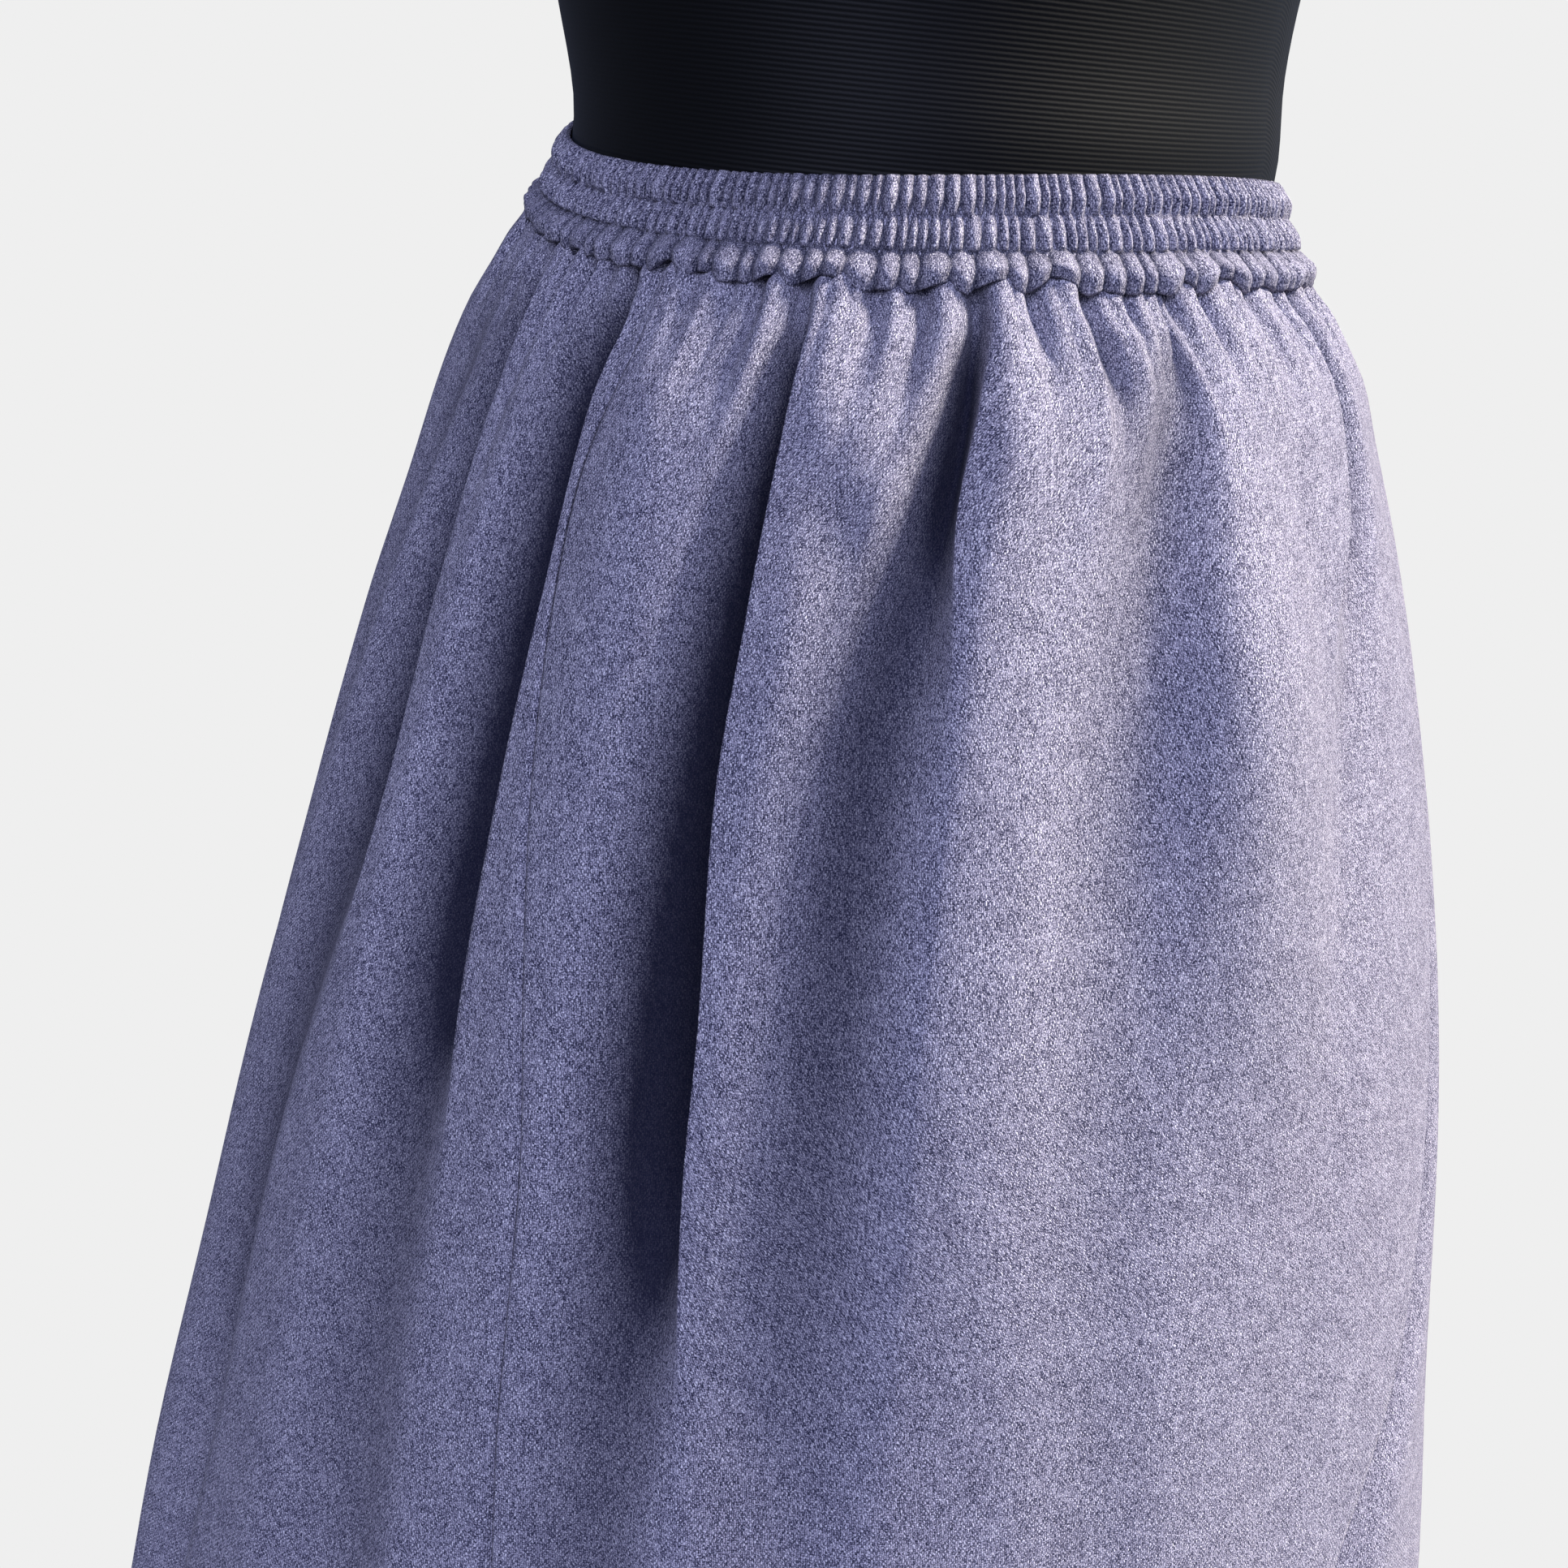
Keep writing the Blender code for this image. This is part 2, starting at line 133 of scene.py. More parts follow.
def ease(value, start, end):
    """Rise smoothly from 0 at start to 1 at end."""
    t = np.clip((value - start) / (end - start), 0.0, 1.0)
    return t * t * (3.0 - 2.0 * t)


def read_between(places, values, place):
    """Values of a smooth curve through named ones; it stays level past both ends."""
    places = np.asarray(places, float)
    values = np.asarray(values, float)
    place = np.clip(np.asarray(place, float), places[0], places[-1])
    slopes = np.zeros_like(values)
    slopes[1:-1] = (values[2:] - values[:-2]) / (places[2:] - places[:-2])
    i = np.clip(np.searchsorted(places, place, side="right") - 1, 0, len(places) - 2)
    step = places[i + 1] - places[i]
    t = (place - places[i]) / step
    blend = t * t * (3.0 - 2.0 * t)
    return (
        values[i] * (1.0 - blend)
        + values[i + 1] * blend
        + slopes[i] * step * t * (1.0 - t) ** 2
        - slopes[i + 1] * step * t * t * (1.0 - t)
    )


def column(rows, name):
    return [getattr(row, name) for row in rows]


def wrapped(degrees):
    """Angle brought into the range from -180 to 180."""
    return (degrees + 180.0) % FULL_TURN - 180.0


# %% [markdown]
# ## The outline of the skirt
#
# The crests of the folds give the skirt its outline. It springs out fast under the band, where the gathers
# push it, and then hangs as a slow cone. The back hangs fuller than the front.

# %% Outline and waistline
Outline = namedtuple("Outline", "drop half_width half_depth back_shift")
OUTLINE = (
    Outline(0.026, 0.1545, 0.1185, 0.0030),
    Outline(0.036, 0.1620, 0.1265, 0.0045),
    Outline(0.050, 0.1700, 0.1355, 0.0060),
    Outline(0.072, 0.1785, 0.1445, 0.0065),
    Outline(0.105, 0.1900, 0.1560, 0.0090),
    Outline(0.150, 0.2030, 0.1715, 0.0100),
    Outline(0.210, 0.2195, 0.1900, 0.0105),
    Outline(0.290, 0.2370, 0.2105, 0.0100),
    Outline(0.390, 0.2555, 0.2320, 0.0085),
    Outline(0.510, 0.2760, 0.2570, 0.0060),
    Outline(0.640, 0.2930, 0.2785, 0.0035),
    Outline(0.780, 0.3080, 0.2970, 0.0010),
)

SADDLE_RISE = 0.005
SADDLE_TURN = 112.0
SADDLE_FADE = 0.30
BACK_DIP = 0.003


def saddle(degrees, drop):
    """Rise of the uneven waistline at an angle."""
    turn = np.radians(degrees - SADDLE_TURN)
    rise = SADDLE_RISE * np.sin(2.0 * turn)
    dip = BACK_DIP * np.sin(turn) * np.minimum(drop / BAND_DEPTH, 1.0)
    return (rise - dip) * (1.0 - ease(drop, 0.0, SADDLE_FADE))


print("outline rows:", len(OUTLINE))

# %% [markdown]
# ## Large folds
#
# Each large fold is a valley in the cloth. A row of its table gives, at one drop, where its bottom lies, how
# deep it is and how far it spreads to each side. A lip above 0 makes the side of larger angles end in a crisp
# edge, as cloth does where it rolls over; a lip below 0 does so on the other side.

# %% Large folds of the left side, as the photo shows them
FoldRow = namedtuple("FoldRow", "drop angle depth before after lip")
SHOWN_FOLDS = {
    "front_edge": (
        FoldRow(0.030, 50, 3, 4, 4, 0),
        FoldRow(0.060, 48, 5.5, 6, 6, 0),
        FoldRow(0.120, 45, 7, 7, 7, 0),
        FoldRow(0.220, 41, 8, 8, 8, 0),
        FoldRow(0.390, 39, 11, 8, 8, 0),
        FoldRow(0.780, 37, 26, 8, 8, 0),
    ),
    "beside_lit_ridge": (
        FoldRow(0.030, 60, 6, 4, 4, 0.6),
        FoldRow(0.050, 57.6, 12, 5, 6.4, 0.9),
        FoldRow(0.080, 56.8, 14, 5.6, 7.6, 1),
        FoldRow(0.120, 56.6, 15, 6, 8.4, 1),
        FoldRow(0.170, 57, 14, 7, 9, 0.9),
        FoldRow(0.220, 57, 10, 8, 8.4, 0.4),
        FoldRow(0.300, 56, 9, 8, 7, 0),
        FoldRow(0.390, 55, 12, 8, 8, 0),
        FoldRow(0.780, 52, 27, 8, 8, 0),
    ),
    "before_side_seam": (
        FoldRow(0.030, 78.4, 9, 3.6, 3.8, 0.7),
        FoldRow(0.050, 75.8, 18, 5.2, 5.2, 1),
        FoldRow(0.075, 74.8, 22, 5.8, 6, 1),
        FoldRow(0.120, 74.4, 24, 6.4, 6, 1),
        FoldRow(0.180, 74.6, 23, 6.4, 6.4, 1),
        FoldRow(0.215, 75, 18, 7, 6.6, 0.9),
        FoldRow(0.250, 76, 11, 8, 6.8, 0.5),
        FoldRow(0.310, 78, 7, 10, 7, 0),
        FoldRow(0.390, 79, 9, 10, 7, 0),
        FoldRow(0.780, 77, 26, 10, 7, 0),
    ),
    "deep_fold": (
        FoldRow(0.028, 103.8, 3, 2.6, 1.2, 0.5),
        FoldRow(0.045, 101.6, 11, 3.6, 1.7, 0.9),
        FoldRow(0.070, 100.6, 20, 5, 2.1, 1),
        FoldRow(0.100, 99.2, 24.5, 6.4, 2.5, 1),
        FoldRow(0.140, 98.2, 26.5, 7.6, 2.8, 1),
        FoldRow(0.200, 99, 34, 8.6, 3.4, 1),
        FoldRow(0.235, 99.2, 29, 8.4, 3.7, 1),
        FoldRow(0.270, 99.4, 16, 8, 4.4, 0.8),
        FoldRow(0.320, 99.6, 9, 8, 6, 0.2),
        FoldRow(0.390, 99.5, 10, 8.6, 6, 0),
        FoldRow(0.780, 101, 30, 8, 6, 0),
    ),
    "fading_fold": (
        FoldRow(0.028, 123.6, 5, 3, 1.2, 0.6),
        FoldRow(0.048, 120.8, 12, 5, 1.5, 0.9),
        FoldRow(0.072, 118.4, 16, 6, 1.8, 1),
        FoldRow(0.096, 116.8, 12, 6.5, 3, 0.7),
        FoldRow(0.140, 114.8, 6, 7, 5, 0.2),
        FoldRow(0.210, 113, 3, 7, 6, 0),
        FoldRow(0.300, 113, 2, 8, 7, 0),
        FoldRow(0.390, 115, 4, 9, 7, 0),
        FoldRow(0.780, 122, 24, 9, 7, 0),
    ),
    "short_gather": (
        FoldRow(0.028, 135.6, 3.5, 1.4, 2.5, -0.6),
        FoldRow(0.045, 137.6, 5, 1.8, 4, -0.6),
        FoldRow(0.065, 137, 1.6, 2.5, 4, -0.2),
        FoldRow(0.100, 132.4, 0, 4, 4, 0),
        FoldRow(0.150, 129, 0, 4, 4, 0),
    ),
    "broad_shade": (
        FoldRow(0.028, 146.3, 4, 4, 2, 0.4),
        FoldRow(0.045, 145.6, 8, 6.5, 3, 0.5),
        FoldRow(0.065, 143, 8.5, 8, 5, 0.3),
        FoldRow(0.100, 138, 6, 9, 7, 0.2),
        FoldRow(0.150, 134.5, 4, 9, 8, 0),
        FoldRow(0.240, 133.5, 2.5, 9, 8, 0),
        FoldRow(0.390, 136, 2, 6, 6, 0),
        FoldRow(0.780, 140, 12, 6, 6, 0),
    ),
    "beside_back_ridge": (
        FoldRow(0.028, 174.6, 4, 1.8, 3, -0.5),
        FoldRow(0.045, 175.4, 12, 2.2, 3.6, -0.7),
        FoldRow(0.065, 175.4, 15, 2.8, 4.2, -0.7),
        FoldRow(0.085, 173.4, 12, 3.6, 5, -0.5),
        FoldRow(0.110, 168, 4, 5, 6, -0.2),
        FoldRow(0.180, 160, 1.5, 7, 7, 0),
        FoldRow(0.390, 152, 0.5, 7, 7, 0),
    ),
    "overlap": (
        FoldRow(0.180, 187, 3, 6, 7, 0),
        FoldRow(0.250, 184, 9, 3.4, 7, -0.6),
        FoldRow(0.306, 178.6, 15, 3, 8, -0.9),
        FoldRow(0.350, 172.4, 18, 3, 9, -1),
        FoldRow(0.397, 163.5, 20, 3.2, 10, -1),
        FoldRow(0.460, 158, 20, 4, 10, -0.6),
        FoldRow(0.780, 154, 29, 7, 9, 0),
    ),
}

# The cloth between two folds bulges. A bulge is written as a fold of negative depth.
BULGES = {
    "lit_ridge": (
        FoldRow(0.028, 70, 0, 5, 5, 0),
        FoldRow(0.060, 67, -1.5, 5, 5, 0),
        FoldRow(0.120, 66.5, -2, 5, 5, 0),
        FoldRow(0.200, 67, -1, 5, 5, 0),
        FoldRow(0.300, 67, 0, 6, 6, 0),
    ),
    "seam_panel": (
        FoldRow(0.028, 90, 0, 8, 8, 0),
        FoldRow(0.060, 89, -4, 8, 9, 0),
        FoldRow(0.140, 88.5, -3.5, 8, 8, 0),
        FoldRow(0.260, 90, -1, 8, 8, 0),
        FoldRow(0.340, 90, 0, 8, 8, 0),
    ),
    "beside_deep_fold": (
        FoldRow(0.028, 108, 0, 4, 6, 0),
        FoldRow(0.052, 108, -2.5, 5, 6, 0),
        FoldRow(0.085, 111, 3.5, 6, 6, 0),
        FoldRow(0.150, 111.5, 7, 8, 7, 0),
        FoldRow(0.260, 112, 5, 8, 8, 0),
        FoldRow(0.360, 112, 0, 8, 8, 0),
    ),
    "beside_fading_fold": (
        FoldRow(0.028, 128, 0, 6, 7, 0),
        FoldRow(0.055, 125.5, -5, 5, 8, 0),
        FoldRow(0.110, 122, -6, 6, 11, 0),
        FoldRow(0.200, 120.5, -4, 8, 13, 0),
        FoldRow(0.320, 120, 0, 9, 12, 0),
    ),
    "back_left": (
        FoldRow(0.028, 152, 0, 8, 10, 0),
        FoldRow(0.050, 149, -2.5, 7, 12, 0),
        FoldRow(0.085, 147.5, -9, 8, 15, 0),
        FoldRow(0.115, 147, -13, 9, 16, 0),
        FoldRow(0.165, 147, -9, 11, 16, 0),
        FoldRow(0.260, 148, 0, 12, 14, 0),
    ),
}

# %% [markdown]
# The photo hides the rest of the skirt. Its folds are of the same kinds, and the packed solids have them too,
# so one short row each is enough.

# %% Large folds of the hidden sides
Fold = namedtuple("Fold", "top mid low hem before after top_depth mid_depth low_depth hem_depth lip")
FOLD_DROPS = (0.050, 0.220, 0.380, 0.780)
HIDDEN_FOLDS = (
    Fold(8, 6, 5, 4, 8, 9, 4, 6, 10, 26, 0.0),
    Fold(31, 29, 28, 27, 9, 7, 5, 7, 13, 30, 0.3),
    Fold(204, 205, 204, 190, 7, 8, 7, 9, 11, 26, 0.0),
    Fold(226, 222, 223, 216, 8, 8, 6, 7, 14, 28, -0.3),
    Fold(246, 243, 241, 240, 6, 10, 9, 14, 18, 31, -0.5),
    Fold(262, 263, 264, 265, 7, 6, 5, 8, 12, 24, 0.0),
    Fold(284, 281, 281, 284, 8, 7, 8, 11, 16, 29, 0.4),
    Fold(307, 306, 305, 306, 9, 8, 5, 6, 11, 27, 0.0),
    Fold(326, 328, 328, 329, 6, 9, 7, 9, 14, 28, -0.4),
    Fold(346, 344, 345, 347, 8, 7, 5, 7, 12, 25, 0.0),
)


def fold_rows(fold):
    """A short fold written out as rows, one for each drop that it is given at."""
    angles = (fold.top, fold.mid, fold.low, fold.hem)
    depths = (fold.top_depth, fold.mid_depth, fold.low_depth, fold.hem_depth)
    return tuple(
        FoldRow(drop, angle, depth, fold.before, fold.after, fold.lip)
        for drop, angle, depth in zip(FOLD_DROPS, angles, depths)
    )


FOLDS = list(SHOWN_FOLDS.values()) + [fold_rows(fold) for fold in HIDDEN_FOLDS]
SHAPES = FOLDS + list(BULGES.values())
FOLD_START = 0.020

SEAM_DROPS = (0.026, 0.075, 0.106, 0.140, 0.200, 0.248, 0.322, 0.390, 0.780)
LEFT_SEAM = (85.0, 81.9, 81.8, 83.6, 87.6, 90.2, 91.8, 93.4, 95.0)
RIGHT_SEAM = (276.0, 275.6, 275.4, 275.2, 275.0, 274.7, 274.4, 274.0, 273.0)
print("large folds:", len(FOLDS))

# %% [markdown]
# ## Puffs and tucks
#
# Wherever the elastic draws up the cloth it stands in small pillows with slits between them. Their widths are
# drawn with a fixed seed between two limits. The lowest row of the band has the widest ones, the puffs, and
# each puff starts a small pleat in the cloth under it.

# %% Uneven pillows
Slits = namedtuple("Slits", "places height")
BAND_GIRTH = 0.90
NARROWEST = 0.55
HEIGHT_LIMITS = (0.7, 1.0)
PUFF_SEED = 5
PUFF_WIDTH = (0.0048, 0.0105)


def uneven_slits(seed, widths):
    """Places of the slits between tucks or puffs, in degrees, and how high each of them stands."""
    draw = np.random.default_rng(seed)
    places = [0.0]
    while places[-1] < FULL_TURN:
        places.append(places[-1] + draw.uniform(*widths) / BAND_GIRTH * FULL_TURN)
    places = np.array(places)
    width = np.diff(places)
    height = NARROWEST + (1.0 - NARROWEST) * width / width.max()
    height *= draw.uniform(*HEIGHT_LIMITS, len(width))
    return Slits(places / places[-1] * FULL_TURN, height)


def pillow(degrees, slits, roundness):
    """Height of round pillows between slits, from 0 in a slit to about 1 on the highest."""
    degrees = degrees % FULL_TURN
    i = np.clip(np.searchsorted(slits.places, degrees, side="right") - 1, 0, len(slits.height) - 1)
    x = (degrees - slits.places[i]) / (slits.places[i + 1] - slits.places[i])
    return (4.0 * x * (1.0 - x)) ** roundness * slits.height[i]


PUFFS = uneven_slits(PUFF_SEED, PUFF_WIDTH)
print("puffs round the band:", len(PUFFS.height))

# %% [markdown]
# ## Gathers under the band
#
# The band draws up the cloth. At the seam it is pinched in narrow notches, and between two of them it stands
# out and pushes the seam up a little. A notch widens and fades on its way down. The left side has them where
# the photo shows them. The others are drawn with a fixed seed, as uneven as the ones that show.

# %% Notches of the gathers
Notch = namedtuple("Notch", "angle half_width depth reach rise_after")
SHOWN_NOTCHES = (
    Notch(55, 1.9, 6, 0.085, 1.2), Notch(61, 1.7, 6, 0.060, 1.2), Notch(66.8, 1.9, 7, 0.085, 1.6),
    Notch(71.5, 1.6, 6.5, 0.070, 1.2), Notch(74.9, 1.4, 6, 0.060, 1), Notch(78.7, 1.5, 6, 0.060, 0.8),
    Notch(83.7, 1.7, 3, 0.044, 3.4), Notch(88.8, 1.6, 2.6, 0.042, 1.8), Notch(94.1, 1.9, 4.6, 0.052, 0.2),
    Notch(97.6, 1.5, 5, 0.050, 2.6), Notch(102.8, 1.8, 6.4, 0.048, 3.4), Notch(111.3, 2.1, 5.2, 0.052, 0.7),
    Notch(117, 2, 5.8, 0.054, 2.4), Notch(123.1, 2.4, 6.6, 0.058, 3.6), Notch(129.8, 1.8, 4.8, 0.044, 4.4),
    Notch(137.2, 2.2, 5, 0.052, 1), Notch(142.3, 1.3, 3.4, 0.036, 0.6), Notch(148.7, 1.9, 5, 0.050, 3.2),
    Notch(153.6, 1.5, 4, 0.044, 4.2), Notch(162.6, 1.8, 4.4, 0.044, 2), Notch(170.2, 1.6, 3.6, 0.038, 0.8),
    Notch(176.4, 1.9, 5, 0.050, 2.2), Notch(183.5, 1.8, 4.4, 0.048, 2),
)
NOTCH_SEED = 11
NOTCH_STEP = (3.2, 8.0)
NOTCH_WIDTH = (1.3, 2.2)
NOTCH_DEPTH = (1.4, 5.5)
NOTCH_REACH = (0.036, 0.058)
SEAM_RISE = (0.2, 4.4)
NOTCH_SPREAD = 55.0
NOTCH_FADE = 1.6
NOTCH_SHARPNESS = 1.6
RISE_ROUND = 1.3
PLEAT_DEPTH = 3.0
PLEAT_ROUND = 0.6
PLEAT_FADE = (0.030, 0.056)


def all_notches():
    """The notches that show, and seeded ones over the rest of the waist, in order."""
    draw = np.random.default_rng(NOTCH_SEED)
    notches = list(SHOWN_NOTCHES)
    angle = SHOWN_NOTCHES[-1].angle
    end = SHOWN_NOTCHES[0].angle + FULL_TURN
    while True:
        angle += draw.uniform(*NOTCH_STEP)
        if angle + 2.0 > end:
            break
        sizes = [draw.uniform(*limits) for limits in (NOTCH_WIDTH, NOTCH_DEPTH, NOTCH_REACH, SEAM_RISE)]
        notches.append(Notch(angle % FULL_TURN, *sizes))
    return sorted(notches)


NOTCHES = all_notches()
print("gather notches:", len(NOTCHES))

# %% [markdown]
# ## From a flat grid to hanging cloth
#
# A column of the grid keeps its place between the folds and seams on each side while it falls, as a thread
# of the real cloth does. The functions below work on a whole grid: `start` is where a column is at the waist,
# in degrees, and `drop` how far below the top edge of the band a row is.

# %% Lines that the columns follow
WAIST_LINE = 0.030
LEAST_LIP = 0.4


def fold_at(rows, drop, name):
    """One measure of a fold at a drop."""
    return float(read_between(column(rows, "drop"), column(rows, name), drop))


def lip_side(rows):
    """1 or -1 if the fold has a crisp edge on the side of larger or smaller angles, and 0 if it has none."""
    strongest = max(column(rows, "lip"), key=abs)
    return 0 if abs(strongest) < LEAST_LIP else int(math.copysign(1, strongest))


def fold_lines(drop):
    """Pairs of the place at the waist and the place at a drop, for each fold's bottom and crisp edge."""
    pairs = []
    for rows in FOLDS:
        top, now = fold_at(rows, WAIST_LINE, "angle"), fold_at(rows, drop, "angle")
        pairs.append((top, now))
        side = lip_side(rows)
        if side:
            name = "after" if side > 0 else "before"
            reach = fold_at(rows, WAIST_LINE, name)
            pairs.append((top + side * reach, now + side * fold_at(rows, drop, name)))
    for angles in (LEFT_SEAM, RIGHT_SEAM):
        pairs.append((angles[0], float(read_between(SEAM_DROPS, angles, drop))))
    return sorted(pairs)


def guides(drop):
    """The lines that the columns follow, with one turn more on each side."""
    tops, nows = np.array(fold_lines(drop)).T
    nows = np.maximum.accumulate(nows)
    tops = np.concatenate((tops - FULL_TURN, tops, tops + FULL_TURN))
    nows = np.concatenate((nows - FULL_TURN, nows, nows + FULL_TURN))
    return tops, nows


def hanging_angles(start, drops):
    """Angle of every column at every drop."""
    return np.array([np.interp(start, *guides(drop)) for drop in drops])


print("guide lines round the skirt:", len(fold_lines(WAIST_LINE)))

# %% [markdown]
# A fold and a gather both pull the cloth towards the middle. Their depths add up, so a small gather can lie
# on the side of a large fold. A crisp fold also slips a little under its own edge.

# %% Depth of folds and gathers
UNDERCUT = 0.15
FOLD_FULL = 0.045
SWELL_HEIGHT = 0.6
SWELL_FADE = (0.05, 0.15)


def valley(offset, before, after, lip):
    """Cross-section of a fold, 1 at its bottom: soft sides, or a crisp edge on the side that has a lip."""
    width = np.where(offset < 0.0, before, after)
    x = np.minimum(np.abs(offset) / width, 1.0)
    soft = 0.5 + 0.5 * np.cos(np.pi * x)
    crisp = 1.0 - x * x
    share = np.where(offset < 0.0, np.maximum(-lip, 0.0), np.maximum(lip, 0.0))
    return soft + (crisp - soft) * share


def pull_of_folds(angle, drop):
    """How far the large folds pull the cloth inwards, and how many degrees it slips under their edges."""
    depth = np.zeros_like(angle)
    slip = np.zeros_like(angle)
    for rows in SHAPES:
        places = column(rows, "drop")
        middle, deepest, before, after, lip = (
            read_between(places, column(rows, name), drop)
            for name in ("angle", "depth", "before", "after", "lip")
        )
        deepest = deepest * ease(drop, FOLD_START, max(places[0], FOLD_FULL))
        pull = deepest * valley(wrapped(angle - middle), before, after, lip)
        depth += MM * pull
        slip += UNDERCUT * lip * pull
    return depth, slip


def gather_depth(start, drop):
    """How far the notches of the gathers pull the cloth inwards."""
    depth = np.zeros_like(start)
    for notch in NOTCHES:
        width = notch.half_width * (1.0 + NOTCH_SPREAD * np.maximum(drop - WAIST_LINE, 0.0))
        x = np.minimum(np.abs(wrapped(start - notch.angle)) / width, 1.0)
        fade = 1.0 - ease(drop, WAIST_LINE, WAIST_LINE + NOTCH_FADE * (notch.reach - BAND_DEPTH))
        depth += MM * notch.depth * fade * (1.0 - x) ** NOTCH_SHARPNESS
    pleats = (1.0 - pillow(start, PUFFS, PLEAT_ROUND)) * (1.0 - ease(drop, *PLEAT_FADE))
    return depth + MM * PLEAT_DEPTH * pleats


def seam_rise(start):
    """How far the cloth between two notches pushes the waist seam up."""
    places = np.array([notch.angle for notch in NOTCHES])
    rises = np.array([notch.rise_after for notch in NOTCHES])
    start = start % FULL_TURN
    i = np.searchsorted(places, start, side="right") - 1
    span = (places[(i + 1) % len(places)] - places[i]) % FULL_TURN
    x = ((start - places[i]) % FULL_TURN) / span
    return MM * rises[i] * np.sin(np.pi * x) ** RISE_ROUND


def soft_unevenness(angle, drop):
    """Slow small swells that keep the cloth between the folds from looking pressed."""
    turn = np.radians(angle)
    swell = np.sin(5.0 * turn + 14.0 * drop) * np.sin(23.0 * drop + 2.0 * turn)
    swell += 0.6 * np.sin(11.0 * turn - 20.0 * drop + 1.0)
    return SWELL_HEIGHT * MM * swell * ease(drop, *SWELL_FADE)


deepest_rows = [max(column(rows, "depth")) for rows in FOLDS]
print("deepest fold:", max(deepest_rows), "mm")

# %% [markdown]
# Wool swallows light between the walls of a fold. A thin shell on a form can't be as deep as the real fold,
# so each point also keeps a painted shade, from 0 to 1, that grows with how far folds and gathers pull it in,
# and the wool's colour is painted darker there. The folds of the hidden sides are open and take less of it.

# %% Points on the hanging cloth
LIFT_FADE = 0.022
FULL_SHADE = 0.014
SHADE_POWER = 1.3
SHADE_END = (0.30, 0.46)
GATHER_SHADE = 0.7
OPEN_SHADE = 0.40
OPEN_SIDE = (192.0, 210.0, 385.0, 408.0)


def shade_share(angle):
    """Share of the shade that a fold takes at an angle."""
    past_front = (angle - 180.0) % FULL_TURN + 180.0
    open_side = ease(past_front, *OPEN_SIDE[:2]) * (1.0 - ease(past_front, *OPEN_SIDE[2:]))
    return 1.0 - (1.0 - OPEN_SHADE) * open_side


def cloth_points(start, drops):
    """Points on the outside of the cloth, a row of them for each drop, and the painted shade of each point.
    """
    angle = hanging_angles(start, drops)
    start = np.broadcast_to(start, angle.shape)
    drop = np.broadcast_to(np.asarray(drops)[:, None], angle.shape)
    pull, slip = pull_of_folds(angle, drop)
    gathers = gather_depth(start, drop)
    inwards = pull + gathers - soft_unevenness(angle, drop)
    angle = angle + slip
    places = column(OUTLINE, "drop")
    half_width = read_between(places, column(OUTLINE, "half_width"), drop) - inwards
    half_depth = read_between(places, column(OUTLINE, "half_depth"), drop) - inwards
    shift = read_between(places, column(OUTLINE, "back_shift"), drop)
    lift = seam_rise(start) * (1.0 - ease(drop, BAND_DEPTH, BAND_DEPTH + LIFT_FADE))
    turn = np.radians(angle)
    points = np.stack((
        half_width * np.sin(turn),
        shift - half_depth * np.cos(turn),
        WAIST_HEIGHT - drop + saddle(angle, drop) + lift,
    ), axis=-1)
    hidden = pull + GATHER_SHADE * gathers
    # Painted shade: the deeper folds and gathers pull a point in, the darker its colour is painted; it fades
    # lower down.
    sunk = np.clip(hidden / FULL_SHADE, 0.0, 1.0) ** SHADE_POWER * (1.0 - ease(drop, *SHADE_END))
    return points, sunk * shade_share(angle)


lowest_row = cloth_points(np.arange(0.0, FULL_TURN), [SKIRT_LENGTH])[0][0]
print("hem height:", round(float(lowest_row[:, 2].mean()), 3), "m")

# %% [markdown]
# ## Making a mesh from a grid
#
# Blender wants points, faces and, for the weave, a UV map. The UV map here is in metres of cloth, so a thread
# has the same size everywhere.

# %% Mesh helpers


def link_mesh(name, mesh):
    obj = bpy.data.objects.new(name, mesh)
    bpy.context.scene.collection.objects.link(obj)
    return obj


def grid_faces(rows, columns, closed=False, first=0):
    """Quads between rows of points; a closed grid joins its last column to its first."""
    r, c = np.meshgrid(np.arange(rows - 1), np.arange(columns if closed else columns - 1), indexing="ij")
    after = (c + 1) % columns
    corners = (r * columns + c, (r + 1) * columns + c, (r + 1) * columns + after, r * columns + after)
    return first + np.stack(corners, axis=-1).reshape(-1, 4)


def mesh_from_grid(name, points, faces, uv, finish, sunk=None):
    """Mesh object with smooth faces, a UV map in metres, a painted shade in the folds and one material."""
    mesh = bpy.data.meshes.new(name)
    mesh.from_pydata(points.reshape(-1, 3).tolist(), [], faces.tolist())
    layer = mesh.uv_layers.new(name="cloth_metres")
    corner_point = np.empty(len(mesh.loops), np.int32)
    mesh.loops.foreach_get("vertex_index", corner_point)
    layer.data.foreach_set("uv", uv.reshape(-1, 2)[corner_point].astype(np.float32).ravel())
    if sunk is not None:
        depth = mesh.attributes.new("sunk", "FLOAT", "POINT")
        depth.data.foreach_set("value", sunk.astype(np.float32).ravel())
    mesh.materials.append(finish)
    mesh.shade_smooth()
    mesh.validate()
    return link_mesh(name, mesh)


def triangles_of(obj):
    return sum(len(face.vertices) - 2 for face in obj.data.polygons)


print("a grid of 3 rows and 4 columns has", len(grid_faces(3, 4)), "faces")

# %% [markdown]
# ## The wool
#
# The cloth is a plain weave of heathered yarn: light blue-grey dashes over dark gaps, about half a millimetre
# from thread to thread across and one millimetre up and down. Each crossing has its own shade, because the
# yarn is spun from fibres of several colours. The pattern reads the UV map, so it follows the cloth into the
# folds. Sheen gives the soft edge light of a napped surface.

# %% Helpers for shader nodes


